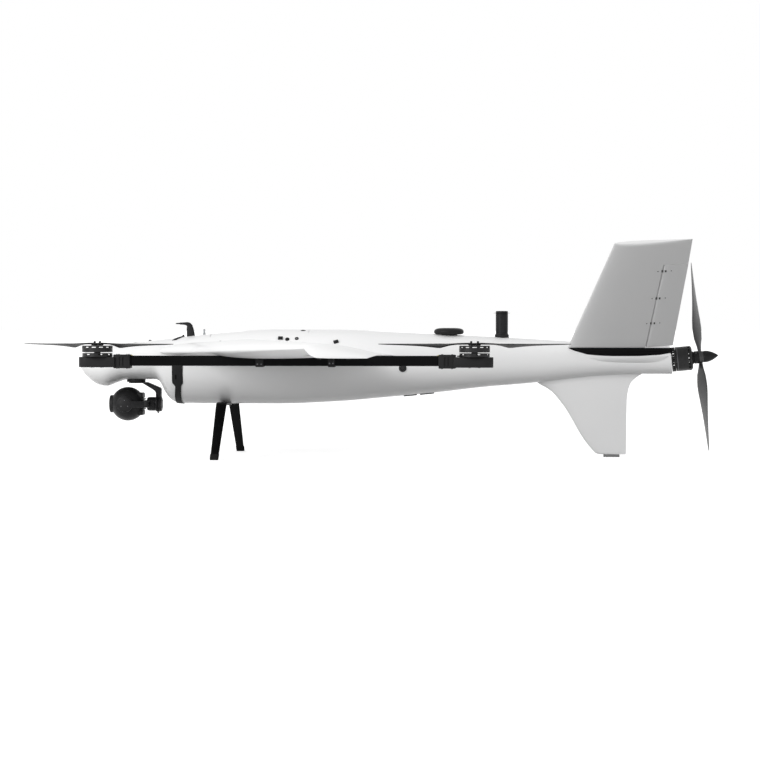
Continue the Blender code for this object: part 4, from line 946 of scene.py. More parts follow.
for side, hand in ((-1, "left"), (1, "right")):
    y = side * BOOM_Y
    finish_node(f"boom_{hand}", CARBON, "black_carbon")
    for where in ("fore", "aft"):
        finish_node(f"boom_clamp_{where}_{hand}", MOUNT, "black_plastic", 0.0006, 2)
        lo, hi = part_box(f"boom_clamp_{where}_{hand}")
        bits = []
        for s in (-1, 1):
            for fx in (0.25, 0.75):
                x = lo[0] + (hi[0] - lo[0]) * fx
                bits.append(screw((x, y + s * 0.0163, (lo[2] + hi[2]) / 2 - 0.003), (0, s, 0), 0.0022, 0.0014))
        put(join(f"boom_clamp_screws_{where}_{hand}", bits), "airframe", "dark_anodised")

    for place in ("front", "rear"):
        way = -1 if place == "front" else 1
        mf = MOTOR_F[place]
        ef = BOOM_F[0] if place == "front" else BOOM_F[1]
        c0, c1 = sorted((ef - way * 0.046, ef + way * 0.0030))
        # clamp: two pockets on each side, over the boom's end
        clamp = box("clamp", (X(c0), y - 0.0205, 0.2770), (X(c1), y + 0.0205, 0.3172), MOUNT, 0.0022, 3)
        outline = []
        for i in range(41):
            a = math.radians(-90 + 180 * i / 40)
            outline.append((X(mf) + way * (0.026 + 0.0285 * math.cos(a)), y + 0.0285 * math.sin(a)))
        outline = [(X(ef - way * 0.0015), y - 0.0285)] + outline + [(X(ef - way * 0.0015), y + 0.0285)]
        arm = prism("arm", outline, 0.2798, MT, "XY", MOUNT, 30.0)
        bevel(arm, 0.0012, 2, 40.0)
        boolean(clamp, [arm], "UNION", 30.0)
        cutters = []
        for s in (-1, 1):
            for k in (0.30, 0.52):
                xc = X(ef - way * 0.046 * k - way * 0.003)
                cutters.append(box("pocket", (xc - 0.0030, y + s * 0.0205 - 0.0030, 0.2835), (xc + 0.0030, y + s * 0.0205 + 0.0030, 0.3108), MOUNT, 0.0012, 2))
        # lightening pockets underneath
        for k in range(3):
            xc = X(mf) + way * (-0.018 + 0.018 * k)
            cutters.append(box("under", (xc - 0.0065, y - 0.016, 0.2700), (xc + 0.0065, y + 0.016, 0.2840), MOUNT, 0.002, 2))
        space = box("space", (X(BOOM_F[0]) - 0.0003, y - 0.0133, 0.2837), (X(BOOM_F[1]) + 0.0003, y + 0.0133, 0.3143), MOUNT)
        boolean(clamp, cutters + [space], "DIFFERENCE", 30.0)
        bits = [clamp]
        for s in (-1, 1):
            for k in (0.16, 0.80):
                bits.append(screw((X(ef - way * 0.046 * k), y + s * 0.0168, 0.3170), (0, 0, 1), 0.0024, 0.0016))
                bits.append(screw((X(ef - way * 0.046 * k), y + s * 0.0168, 0.2772), (0, 0, -1), 0.0024, 0.0016))
        for k in range(4):
            a = PI / 4 + PI / 2 * k
            bits.append(screw((X(mf) + 0.0125 * math.cos(a) * 1.6, y + 0.0125 * math.sin(a) * 1.75, 0.2799), (0, 0, -1), 0.0026, 0.0014))
        piece = join(f"motor_mount_body_{place}_{hand}", bits)
        put(piece, "airframe", "black_plastic", f"motor_mount_{place}_{hand}")
        # amber insulation tape where the motor leads enter the boom
        tab = prism("tab", [(X(ef - way * 0.0464), 0.3142), (X(ef - way * 0.0524), 0.3142), (X(ef - way * 0.0464), 0.3168)], y - 0.004, y + 0.004, "XZ", AMBER)
        put(join(f"lead_tape_{place}_{hand}", [tab]), "airframe", "light_grey_plastic")

        body = f"rotor_{place}_{hand}"
        M = Matrix.Translation((X(mf), y, 0.0))
        sight = math.radians(2.8 if place == "rear" else 11.2)
        ph = -PI / 2 + sight + (0.0 if place == "rear" else math.radians(15))
        ports = (-53, 15, 66) if place == "rear" else (-40, 12, 55)
        spots = [(-PI / 2 + sight + math.radians(g), math.radians(8.5)) for g in ports] + [(PI / 2 + sight - math.radians(g), math.radians(9.5)) for g in ports]
        # stator: base with windows, bearing tube, laminated core with copper windings on its teeth
        base = [ring_with_windows("base", 0.0400, 0.0441, MT + 0.0005, 0.3212, 0.3156, 0.3192, 0, 0, spots, MOTOR, M)]
        base.append(turned("floor", [(0, MT + 0.0005), (0.0415, MT + 0.0005), (0.0422, MT + 0.0014), (0.0422, MT + 0.0030), (0, MT + 0.0030)], MOTOR, (X(mf), y, 0), None, 64))
        base.append(turned("tube", [(0, MT + 0.002), (0.0095, MT + 0.002), (0.0095, 0.3352), (0, 0.3352)], MOTOR, (X(mf), y, 0), None, 40))
        base.append(turned("core", [(0.0090, 0.3262), (0.0200, 0.3262), (0.0200, 0.3338), (0.0090, 0.3338)], MOTOR, (X(mf), y, 0), None, 40))
        for k in range(12):
            a = 2 * PI * k / 12
            r = Matrix.Rotation(a, 3, "Z")
            c = Vector((X(mf), y, 0))
            tooth = box("tooth", (0.0185, -0.0022, 0.3270), (0.0350, 0.0022, 0.3330), STEEL, 0.0)
            coil = box("coil", (0.0215, -0.0058, 0.3256), (0.0325, 0.0058, 0.3344), COPPER, 0.0018, 3)
            shoe = box("shoe", (0.0345, -0.0072, 0.3262), (0.0362, 0.0072, 0.3338), STEEL, 0.0004, 1)
            for o in (tooth, coil, shoe):
                o.data.transform(Matrix.Translation(c) @ r.to_4x4())
                base.append(o)
        for k in range(3):
            a = math.radians(90 * way + 180 * 0 + (k - 1) * 9)
            x = X(mf) - way * 0.0405
            base.append(turned("lead", [(0, -0.010), (0.0017, -0.010), (0.0017, 0.004), (0, 0.004)], BLACK_SOFT, (x, y + (k - 1) * 0.0052, 0.3130), along((1, 0, 0)), 14))
        put(join(f"lift_stator_body_{place}_{hand}", base), "airframe", "dark_anodised", f"lift_stator_{place}_{hand}")

        # bell: magnet ring, a wall with cooling windows, and a spoked top
        bell = [ring_with_windows("bell", 0.0405, 0.0447, 0.3240, 0.3418, 0.3368, 0.3398, 12, 0.60, ph, MOTOR, M)]
        bell.append(turned("chamfer", [(0.0405, 0.3418), (0.0447, 0.3418), (0.0432, 0.3434), (0.0405, 0.3434)], MOTOR, (X(mf), y, 0), None, 96))
        for k in range(24):
            a = 2 * PI * k / 24
            mg = box("magnet", (0.0388, -0.0044, 0.3250), (0.0406, 0.0044, 0.3362), MAGNET, 0.0003, 1)
            mg.data.transform(M @ Matrix.Rotation(a, 4, "Z"))
            bell.append(mg)
        bell.append(turned("hubplate", [(0, 0.3398), (0.0185, 0.3398), (0.0200, 0.3404), (0.0200, 0.3432), (0.0180, 0.3437), (0, 0.3437)], MOTOR, (X(mf), y, 0), None, 64))
        for k in range(12):
            a = ph + PI / 12 + 2 * PI * k / 12
            sp = prism("spoke", [(0.0190, -0.0040), (0.0415, -0.0026), (0.0415, 0.0026), (0.0190, 0.0040)], 0.3404, 0.3432, "XY", MOTOR)
            sp.data.transform(M @ Matrix.Rotation(a, 4, "Z"))
            bell.append(sp)
        put(join(f"lift_bell_body_{place}_{hand}", bell), body, "dark_anodised", f"lift_bell_{place}_{hand}")

        # propeller: two blades in a plate hub with two clamp screws
        rot = 1 if (place == "front") == (side < 0) else -1
        hub = [
            ([(0, 0.3440), (0.0168, 0.3440), (0.0178, 0.3446), (0.0178, 0.3478), (0.0168, 0.3484), (0, 0.3484)], 48, CARBON_PROP),
            ([(0, 0.3484), (0.0128, 0.3484), (0.0136, 0.3490), (0.0128, 0.3512), (0, 0.3512)], 40, BLACK),
        ]
        parts, W = prop_mesh("prop", 0.2795, lift_chord, lift_angle, lift_thick, rot, 1.0, CARBON_PROP, LIFT_TURN[(place, side)], 0.3480, M, hub)
        # straps over the blade roots
        bar = box("bar", (-0.0200, -0.0085, 0.3462), (0.0200, 0.0085, 0.3500), BLACK, 0.0010, 2)
        bar.data.transform(W)
        parts.append(bar)
        for s in (-1, 1):
            p = W @ Vector((s * 0.0098, 0.0, 0.3498))
            parts.append(screw(p, (0, 0, 1), 0.0032, 0.0068, BLACK_SOFT))
            p = W @ Vector((s * 0.0150, 0.0, 0.3496))
            parts.append(screw(p, (0, 0, 1), 0.0016, 0.0012))
        put(join(f"lift_prop_body_{place}_{hand}", parts), body, "black_carbon", f"lift_prop_{place}_{hand}")

# ================================================================ pusher unit
P = Matrix.Translation((X(PUSH_F), 0, PUSH_Z)) @ Matrix.Rotation(math.radians(90) - TILT, 4, "Y")
R0 = 0.0370


def on_pusher(o):
    o.data.transform(P)
    return o


stat = [ring_with_windows("pring", 0.0335, R0, 0.0008, 0.0126, 0.0035, 0.0098, 24, 0.5, 0.0, MOTOR, P, 144)]
stat.append(on_pusher(turned("plate", [(0, 0.0010), (0.0340, 0.0010), (0.0340, 0.0030), (0, 0.0030)], MOTOR, seg=64)))
stat.append(on_pusher(turned("ptube", [(0, 0.002), (0.010, 0.002), (0.010, 0.0470), (0, 0.0470)], MOTOR, seg=40)))
stat.append(on_pusher(turned("pcore", [(0.0095, 0.0175), (0.0180, 0.0175), (0.0180, 0.0440), (0.0095, 0.0440)], MOTOR, seg=40)))
for k in range(12):
    a = 2 * PI * k / 12
    for o in (
        box("coil", (0.0160, -0.0046, 0.0160), (0.0268, 0.0046, 0.0455), COPPER, 0.0016, 3),
        box("shoe", (0.0264, -0.0060, 0.0175), (0.0284, 0.0060, 0.0440), STEEL, 0.0004, 1),
    ):
        o.data.transform(P @ Matrix.Rotation(a, 4, "Z"))
        stat.append(o)
for k in range(6):
    a = PI / 6 + 2 * PI * k / 6
    stat.append(screw(P @ Vector((0.0265 * math.cos(a), 0.0265 * math.sin(a), 0.0028)), P.to_3x3() @ Vector((0, 0, 1)), 0.0026, 0.0014))
put(join("pusher_stator_body", stat), "airframe", "dark_anodised", "pusher_stator")

bell = [ring_with_windows("pbell", 0.0325, R0, 0.0140, 0.0590, 0.0515, 0.0562, 16, 0.62, math.radians(4), MOTOR, P, 144)]
bell.append(on_pusher(turned("pband", [(R0 - 0.0004, 0.0170), (R0 + 0.0004, 0.0175), (R0 + 0.0004, 0.0190), (R0 - 0.0004, 0.0195)], STEEL, seg=96)))
bell.append(on_pusher(turned("pcap", [(0.0325, 0.0590), (R0, 0.0590), (R0 - 0.0014, 0.0608), (0.0312, 0.0634), (0.0200, 0.0640), (0.0200, 0.0600), (0.0300, 0.0590)], MOTOR, seg=96)))
bell.append(on_pusher(turned("padapt", [(0, 0.0590), (0.0195, 0.0590), (0.0195, 0.0665), (0.0175, 0.0675), (0.0175, 0.0690), (0.0190, 0.0700), (0.0190, 0.0825), (0.0182, 0.0834), (0, 0.0834)], DARK, seg=64)))
for k in range(8):
    a = 2 * PI * k / 8
    sp = prism("spoke", [(0.0170, -0.0030), (0.0330, -0.0020), (0.0330, 0.0020), (0.0170, 0.0030)], 0.0575, 0.0605, "XY", MOTOR)
    sp.data.transform(P @ Matrix.Rotation(a, 4, "Z"))
    bell.append(sp)
for k in range(14):
    mg = box("magnet", (0.0302, -0.0058, 0.0160), (0.0326, 0.0058, 0.0490), MAGNET, 0.0003, 1)
    mg.data.transform(P @ Matrix.Rotation(2 * PI * k / 14, 4, "Z"))
    bell.append(mg)
for k in range(4):
    a = PI / 4 + PI / 2 * k
    bell.append(screw(P @ Vector((0.0188 * math.cos(a), 0.0188 * math.sin(a), 0.0760)), P.to_3x3() @ Vector((math.cos(a), math.sin(a), 0)), 0.0020, 0.0012))
put(join("pusher_bell_body", bell), "pusher_rotor", "dark_anodised", "pusher_bell")

push_chord = table((0, 0.080), (0.06, 0.082), (0.12, 0.105), (0.20, 0.150), (0.30, 0.190), (0.40, 0.195), (0.55, 0.168), (0.72, 0.128), (0.86, 0.092), (0.95, 0.062), (0.985, 0.036), (1.0, 0.012))
push_angle = table((0, 12), (0.10, 26), (0.18, 36), (0.30, 32), (0.45, 25), (0.60, 19.5), (0.80, 15), (1.0, 12))
push_thick = table((0, 0.034), (0.10, 0.032), (0.25, 0.022), (0.6, 0.012), (1.0, 0.005))
hub = [([(0, 0.0838), (0.0165, 0.0838), (0.0174, 0.0846), (0.0174, 0.0976), (0.0165, 0.0984), (0, 0.0984)], 48, CARBON_PUSH)]
parts, W = prop_mesh("pprop", 0.2890, push_chord, push_angle, push_thick, -1, 0.3, CARBON_PUSH, 0.0, 0.0872, P, hub)
put(join("pusher_prop_body", parts), "pusher_rotor", "black_carbon", "pusher_prop")
prof = [(0, 0.0988), (0.0172, 0.0988), (0.0176, 0.0996), (0.0176, 0.1010), (0.0172, 0.1018)]
for k in range(1, 25):
    u = k / 24
    prof.append((0.0172 * (1 - u ** 1.9) ** 0.95 + 0.0006 * (1 - u), 0.1018 + (0.1432 - 0.1018) * u))
prof[-1] = (0, 0.1432)
spin = on_pusher(turned("spinner_cone", prof, DARK, seg=72))
put(spin, "pusher_rotor", "dark_anodised", "spinner")

# ================================================================ camera gimbal
GF, GZ, CF, CZ, CR = 0.1744, 0.2272, 0.1484, 0.1595, 0.0524
gx, cx = X(GF), X(CF)
finish_node("gimbal_plate", DARK, "dark_anodised", 0.0005, 2)
bits = [turned("damper", [(0, GZ + 0.0004), (0.0032, GZ + 0.0004), (0.0038, GZ + 0.0012), (0.0038, GZ - 0.0000), (0, GZ - 0.0000)][:3] + [(0.0038, GZ + 0.0020), (0, GZ + 0.0020)], BLACK_SOFT, (gx + 0.021 * math.cos(a), 0.021 * math.sin(a), -0.0006), None, 20) for a in (math.radians(45), math.radians(135), math.radians(225), math.radians(315))]
put(join("gimbal_plate_screws", bits), "airframe", "black_plastic")


def outline_arc(points, radius=0.004, n=5):
    """Rounds the corners of a closed outline."""
    out = []
    m = len(points)
    for i in range(m):
        p, a, b = (Vector(points[i]), Vector(points[i - 1]), Vector(points[(i + 1) % m]))
        u, v = (a - p), (b - p)
        r = min(radius, u.length * 0.45, v.length * 0.45)
        s, e = p + u.normalized() * r, p + v.normalized() * r
        for k in range(n + 1):
            t = k / n
            out.append(tuple((1 - t) ** 2 * s + 2 * t * (1 - t) * p + t * t * e))
    return out


arm_pts = [(X(f), z) for f, z in ((0.1536, 0.2269), (0.1536, 0.2240), (0.1960, 0.2240), (0.2332, 0.2010), (0.2375, 0.1950), (0.2375, 0.1595), (0.2530, 0.1595), (0.2530, 0.2060), (0.2500, 0.2100), (0.2100, 0.2269))]
arm = prism("arm", outline_arc(arm_pts, 0.0045), -0.0125, 0.0125, "XZ", DARK, 25.0)
bevel(arm, 0.0009, 2, 50.0)
web = prism("web", outline_arc([(X(0.2075), 0.2236), (X(0.2060), 0.2215), (X(0.2360), 0.2030), (X(0.2410), 0.1950), (X(0.2410), 0.185), (X(0.2492), 0.185), (X(0.2492), 0.2035), (X(0.2465), 0.2075)], 0.002), -0.0150, -0.0110, "XZ", DARK)
web2 = prism("web2", outline_arc([(X(0.2075), 0.2236), (X(0.2060), 0.2215), (X(0.2360), 0.2030), (X(0.2410), 0.1950), (X(0.2410), 0.185), (X(0.2492), 0.185), (X(0.2492), 0.2035), (X(0.2465), 0.2075)], 0.002), 0.0110, 0.0150, "XZ", DARK)
boolean(arm, [web, web2], "DIFFERENCE", 30.0)
roll_motor = turned("rollm", [(0, 0.2356), (0.0212, 0.2356), (0.0226, 0.2364), (0.0235, 0.2380), (0.0235, 0.2512), (0.0226, 0.2536), (0.0205, 0.2550), (0, 0.2552)], DARK, (NOSE, 0, CZ), along((1, 0, 0)), 72)
grv = [turned("g", [(0.0229, 0.2400 + 0.003 * k), (0.03, 0.2400 + 0.003 * k), (0.03, 0.2409 + 0.003 * k), (0.0229, 0.2409 + 0.003 * k)], DARK, (NOSE, 0, CZ), along((1, 0, 0)), 72) for k in range(3)]
boolean(roll_motor, grv, "DIFFERENCE", 30.0)
pan_motor = turned("panm", [(0, 0.2236), (0.0155, 0.2236), (0.0165, 0.2242), (0.0165, 0.2264), (0, 0.2264)], DARK, (gx, 0, 0), None, 56)
bits = [arm, roll_motor, pan_motor]
for k in range(4):
    a = PI / 4 + PI / 2 * k
    bits.append(screw((NOSE + 0.2551, 0.0135 * math.cos(a), CZ + 0.0135 * math.sin(a)), (1, 0, 0), 0.0019, 0.0012))
bits.append(screw((X(0.2000), -0.0123, 0.2254), (0, -1, 0), 0.0011, 0.0008))
put(join("gimbal_arm_body", bits), "gimbal_pan", "dark_anodised", "gimbal_arm")

fork = [turned("hub", [(0, 0.2100), (0.0190, 0.2100), (0.0206, 0.2112), (0.0206, 0.2150), (0.0215, 0.2160), (0.0215, 0.2330), (0.0205, 0.2350), (0, 0.2350)], DARK, (NOSE, 0, CZ), along((1, 0, 0)), 72)]
fork.append(box("bar", (X(0.2104), -0.0650, CZ - 0.0100), (X(0.2220), 0.0650, CZ + 0.0100), DARK, 0.0016, 3))
for s in (-1, 1):
    lo_, hi_ = sorted((s * 0.0548, s * 0.0640))
    pts = [(cx + 0.0245 * math.cos(a), CZ + 0.0245 * math.sin(a)) for a in [math.radians(24 + 312 * i / 60) for i in range(61)]]
    pts += [(X(0.2200), CZ - 0.0100), (X(0.2200), CZ + 0.0100)]
    cheek = prism("cheek", pts, lo_, hi_, "XZ", DARK, 25.0)
    bevel(cheek, 0.0012, 2, 50.0)
    fork.append(cheek)
    fork.append(turned("cap", [(0, 0.0644), (0.0165, 0.0644), (0.0180, 0.0636), (0.0185, 0.0600), (0, 0.0600)] if s > 0 else [(0, 0.0644), (0.0165, 0.0644), (0.0180, 0.0636), (0.0185, 0.0600), (0, 0.0600)], BLACK, (cx, 0, CZ), along((0, s, 0)), 64))
    for k in range(3):
        a = math.radians(90 + 120 * k)
        fork.append(screw((cx + 0.0120 * math.cos(a), s * 0.0643, CZ + 0.0120 * math.sin(a)), (0, s, 0), 0.0016, 0.0008))
put(join("gimbal_fork_body", fork), "gimbal_roll", "dark_anodised", "gimbal_fork")

# camera ball: split shells, a ribbed heat sink behind and a stepped lens turret in front
prof = [(0, -(CR * math.sin(math.radians(74)) + 0.0008))]
for i in range(45):
    a = math.radians(-74 + 148 * i / 44)
    prof.append((CR * math.cos(a), CR * math.sin(a)))
prof.append((0, CR * math.sin(math.radians(74)) + 0.0008))
ball = turned("ball", prof, DARK, (cx, 0, CZ), along((0, 1, 0)), 96)
seat = turned("seat", [(0, -0.0700), (0.0280, -0.0700), (0.0280, -0.0420), (0, -0.0420)], DARK, (cx, 0, CZ), along((1, 0, 0)), 72)
seams = [turned("seam", [(CR - 0.0007, s - 0.0004), (CR + 0.004, s - 0.0004), (CR + 0.004, s + 0.0004), (CR - 0.0007, s + 0.0004)], DARK, (cx, 0, CZ), along((0, 1, 0)), 96) for s in (-0.0180, 0.0180)]
boolean(ball, [seat] + seams, "DIFFERENCE", 30.0)
bits = [ball]
for zz, h, reach in ((0.0262, 0.0088, 0.0500), (0.0150, 0.0020, 0.0522), (-0.0150, 0.0020, 0.0522), (-0.0262, 0.0088, 0.0500)):
    bits.append(box("heat_sink", (cx + 0.0280, -0.0250, CZ + zz - h), (cx + reach, 0.0250, CZ + zz + h), BLACK, min(0.0045, h * 0.6), 4))
for s in (-1, 1):
    bits.append(turned("pad", [(0, 0.0505), (0.0225, 0.0505), (0.0235, 0.0515), (0.0235, 0.0535), (0, 0.0535)], BLACK, (cx, 0, CZ), along((0, s, 0)), 64))
put(join("camera_ball_body", bits), "camera", "dark_anodised", "camera_ball")
lens = [turned("barrel", [(0.0205, -0.0424), (0.0271, -0.0424), (0.0271, -0.0530), (0.0262, -0.0546), (0.0256, -0.0549), (0.0224, -0.0549), (0.0216, -0.0540), (0.0205, -0.0515)], BLACK, (cx, 0, CZ), along((1, 0, 0)), 80)]
# the turret's inner steps are made near-black: painted shade in the lens recess
for k in range(3):
    lens.append(turned("step", [(0.0150 - 0.0035 * k, -0.0430), (0.0207 - 0.0045 * k, -0.0430), (0.0207 - 0.0045 * k, -0.0512 + 0.0020 * k), (0.0150 - 0.0035 * k, -0.0500 + 0.0020 * k)], RECESS_SHADE_BLACK, (cx, 0, CZ), along((1, 0, 0)), 64))
glass = [(0, -0.0440), (0.0206, -0.0440), (0.0206, -0.0505)] + [(0.0206 * math.cos(a), -0.0505 - 0.0028 * math.sin(a)) for a in [PI / 2 * k / 10 for k in range(1, 10)]] + [(0, -0.0533)]
lens.append(turned("glass", glass, LENS, (cx, 0, CZ), along((1, 0, 0)), 64))
lens.append(turned("rim", [(0.0206, -0.0500), (0.0214, -0.0500), (0.0214, -0.0537), (0.0206, -0.0534)], STEEL, (cx, 0, CZ), along((1, 0, 0)), 80))
put(join("camera_lens_body", lens), "camera", "lens_glass", "camera_lens")

# ================================================================ legs
LEG_F, FOOT_Y = 0.4606, 0.2890
for side, hand in ((-1, "left"), (1, "right")):
    keys = ((0.022, 0.1592), (0.060, 0.1622), (0.102, 0.1660), (0.132, 0.1625), (0.149, 0.1480), (0.270, 0.0200), (0.2845, 0.0045))
    pts = [Vector((0, a, b)) for a, b in keys]
    fine = []
    for i in range(len(pts) - 1):
        p0, p1, p2, p3 = pts[max(i - 1, 0)], pts[i], pts[i + 1], pts[min(i + 2, len(pts) - 1)]
        for k in range(8 if i < 4 else 14):
            t = k / (8 if i < 4 else 14)
            if i >= 4:
                fine.append(p1.lerp(p2, t))
            else:
                q = 0.5 * ((2 * p1) + (p2 - p0) * t + (2 * p0 - 5 * p1 + 4 * p2 - p3) * t * t + (3 * p1 - p0 - 3 * p2 + p3) * t ** 3)
                fine.append(q if i < 3 else p1.lerp(p2, t).lerp(q, 0.5))
    fine.append(pts[-1])
    rings = []
    for i, p in enumerate(fine):
        d = (fine[min(i + 1, len(fine) - 1)] - fine[max(i - 1, 0)]).normalized()
        n = Vector((0, -d.z, d.y))
        half = 0.0175 - 0.0055 * (0.20 - min(p.z, 0.20)) / 0.20
        th = 0.0028
        ring = []
        for k in range(20):
            a = 2 * PI * (k + 0.5) / 20
            cx_, sx_ = math.cos(a), math.sin(a)
            ex, ez = math.copysign(abs(cx_) ** 0.45, cx_), math.copysign(abs(sx_) ** 0.6, sx_)
            q = p + n * th * ez
            ring.append((X(LEG_F) + half * ex, side * q.y, q.z))
        rings.append(ring)
    leg = loft("leg", rings, CARBON, 50.0)
    inner = fuselage_mesh("inner", GEL, 64, 0.0003)
    boolean(leg, [inner], "DIFFERENCE", 35.0)
    sole = []
    for z, off, w in ((0.0000, 0.0, 0.0118), (0.0012, 0.0, 0.0126), (0.0160, -0.0128, 0.0134), (0.0172, -0.0138, 0.0126)):
        sole.append([(X(LEG_F) + sx * w, side * (FOOT_Y + off + so * 0.0044), z) for sx, so in ((-1, -0.7), (-0.8, -1), (0.8, -1), (1, -0.7), (1, 0.7), (0.8, 1), (-0.8, 1), (-1, 0.7))])
    shoe = loft("shoe", sole, FOOT, 40.0)
    bits = [leg, shoe]
    for dx in (-0.009, 0.009):
        for yy in (0.050, 0.085):
            zz = 0.1592 + (0.1667 - 0.1592) * (yy - 0.022) / 0.078 - 0.0026
            bits.append(screw((X(LEG_F) + dx, side * yy, zz), (0, 0, -1), 0.0026, 0.0014))
    put(join(f"leg_blade_{hand}", bits), "airframe", "black_carbon", f"leg_{hand}")

# ================================================================ strap, sensor and topside fittings
strap = finish_node("nose_strap", STRAP, "black_plastic")
SENSOR_F, SWEEP = 0.3187, 7.2


def strap_edges(z):
    t = min(max((0.2290 - z) / 0.014, 0.0), 1.0)
    t = t * t * (3 - 2 * t)
    belly = min(max((0.215 - z) / 0.05, 0.0), 1.0)
    return 0.3040 + 0.0090 * t - 0.0085 * belly, 0.3380 - 0.0065 * t - 0.0060 * belly


rings = []
first, last = math.radians(162), math.radians(378)
for i in range(97):
    a = first + (last - first) * i / 96
    z = section(0.321, a)[1]
    f0, f1 = strap_edges(z)
    ring = []
    for u, lift in ((0.0, 0.0004), (0.33, 0.0004), (0.66, 0.0004), (1.0, 0.0004), (0.985, 0.0020), (0.95, 0.0026), (0.66, 0.0028), (0.33, 0.0028), (0.05, 0.0026), (0.015, 0.0020)):
        f = f0 + (f1 - f0) * u
        yy, zz = section(f, a, lift)
        ring.append((X(f), yy, zz))
    rings.append(ring)
band = loft("band", rings, STRAP, 45.0)
bits = [band]
for side in (-1, 1):
    # buckle slot on the wide part of the strap
    a = angle_at(0.321, z=0.2455, side=side)
    for f, w in ((0.3165, 0.0024),):
        pts = []
        for dz, df in ((-0.0068, -w), (0.0068, -w), (0.0068, w), (-0.0068, w)):
            aa = angle_at(f + df, z=0.2455 + dz, side=side)
            pts.append((skin_point(f + df, aa, 0.0024), skin_point(f + df, aa, 0.0033)))
        # near-black sheet laid on the band where the slot opens: painted shade standing in for the slot
        bits.append(loft("slot", [[p for p, q in pts], [q for p, q in pts]], RECESS_SHADE_BLACK))
put(join("nose_strap_band", bits), "airframe", "black_plastic", "nose_strap")

rings = []
for i in range(41):
    a = math.radians(66 + 48 * i / 40)
    f = SENSOR_F
    for _ in range(4):
        f = SENSOR_F - SWEEP * section(f, a)[0] ** 2
    end = min(i, 40 - i)
    k = min(1.0, 0.35 + end / 4)
    ring = []
    for df, lift in ((-0.0070, 0.0003), (0.0, 0.0003), (0.0070, 0.0003), (0.0068, 0.0018), (0.0058, 0.0026), (0.0030, 0.0029), (-0.0030, 0.0029), (-0.0054, 0.0024), (-0.0067, 0.0015)):
        yy, zz = section(f + df, a, 0.0003 + (lift - 0.0003) * k)
        ring.append((X(f + df), yy, zz))
    rings.append(ring)
visor = [loft("visor", rings, BLACK_SOFT, 45.0)]
for dy in (-0.024, 0.0, 0.024):
    f = SENSOR_F - SWEEP * dy * dy
    a = angle_at(f, y=dy)
    p = skin_point(f, a, 0.0028)
    visor.append(turned("eye", [(0, 0.0006), (0.0030, 0.0004), (0.0038, 0.0), (0.0040, -0.0010), (0, -0.0010)], LENS, p, along(skin_normal(f, a)), 32))
a = angle_at(SENSOR_F + 0.0045, y=-0.004)
visor.append(turned("knob", [(0, 0.0062), (0.0020, 0.0058), (0.0030, 0.0046), (0.0032, 0.0), (0, 0.0)], BLACK_SOFT, skin_point(SENSOR_F + 0.0045, a, 0.0010), along(skin_normal(SENSOR_F + 0.0045, a)), 28))
put(join("nose_sensor_visor", visor), "airframe", "black_plastic", "nose_sensor")

# pitot: a raked mast that turns forward into a stepped probe
path = [((0.3485, 0.3640), 0.0132, 0.0050), ((0.3480, 0.3720), 0.0126, 0.0048), ((0.3470, 0.3840), 0.0118, 0.0044), ((0.3452, 0.3930), 0.0108, 0.0041), ((0.3430, 0.4000), 0.0098, 0.0039), ((0.3390, 0.4052), 0.0078, 0.0038), ((0.3340, 0.4076), 0.0058, 0.0038), ((0.3280, 0.4085), 0.0041, 0.0039), ((0.3200, 0.4086), 0.0035, 0.0035), ((0.3120, 0.4086), 0.0032, 0.0032), ((0.3100, 0.4086), 0.0022, 0.0022), ((0.3000, 0.4086), 0.0018, 0.0018), ((0.2988, 0.4086), 0.0013, 0.0013)]
rings = []
for i, ((f, z), a_, b_) in enumerate(path):
    p0, p1 = path[max(i - 1, 0)][0], path[min(i + 1, len(path) - 1)][0]
    d = Vector((p1[0] - p0[0], 0, p1[1] - p0[1])).normalized()
    if i < 3:
        d = Vector((-0.10, 0, 1)).normalized()
    n = Vector((d.z, 0, -d.x))
    rings.append([Vector((X(f - 0.0022 * min(1.0, max(0.0, (0.4060 - z) / 0.01))), 0, z)) + n * (a_ * math.cos(t)) + Vector((0, b_ * math.sin(t), 0)) for t in [2 * PI * k / 28 for k in range(28)]])
mast = loft("mast", rings, BLACK, 50.0)
inner = fuselage_mesh("inner", GEL, 64, 0.0003)
boolean(mast, [inner], "DIFFERENCE", 40.0)
put(join("pitot_mast_body", [mast]), "airframe", "black_plastic", "pitot_mast")

pin = turned("pin", [(0, 0.3720), (0.0042, 0.3720), (0.0042, 0.3790), (0.0032, 0.3797), (0.0032, 0.3880), (0.0026, 0.3900), (0.0018, 0.3914), (0, 0.3915)], GREY, (X(0.3878), 0, 0), None, 32)
put(pin, "airframe", "light_grey_plastic", "pin_aerial")

pz = 0.3745
prof = [(0, 0.3660), (0.0258, 0.3660), (0.0258, pz), (0.0340, pz + 0.0002), (0.0400, pz + 0.0012), (0.0440, pz + 0.0034), (0.0458, pz + 0.0062), (0.0461, pz + 0.0085)]
prof += [(0.0456, pz + 0.0112), (0.0440, pz + 0.0140), (0.0410, pz + 0.0165), (0.0360, pz + 0.0186), (0.0290, pz + 0.0198), (0.0180, 0.3949), (0, 0.3950)]
puck = turned("puck", prof, BLACK, (X(1.1466), 0, 0), None, 96)
groove = [turned("g", [(0.0453, pz + 0.0082), (0.05, pz + 0.0082), (0.05, pz + 0.0089), (0.0453, pz + 0.0089)], BLACK, (X(1.1466), 0, 0), None, 96)]
boolean(puck, groove, "DIFFERENCE", 30.0)
bits = [puck] + [screw((X(1.1466) + 0.033 * math.cos(a), 0.033 * math.sin(a), pz + 0.0003), (0, 0, -1), 0.0018, 0.0008) for a in (0.8, 2.4, 3.9, 5.5)]
put(join("gps_puck_body", bits), "airframe", "black_plastic", "gps_puck")

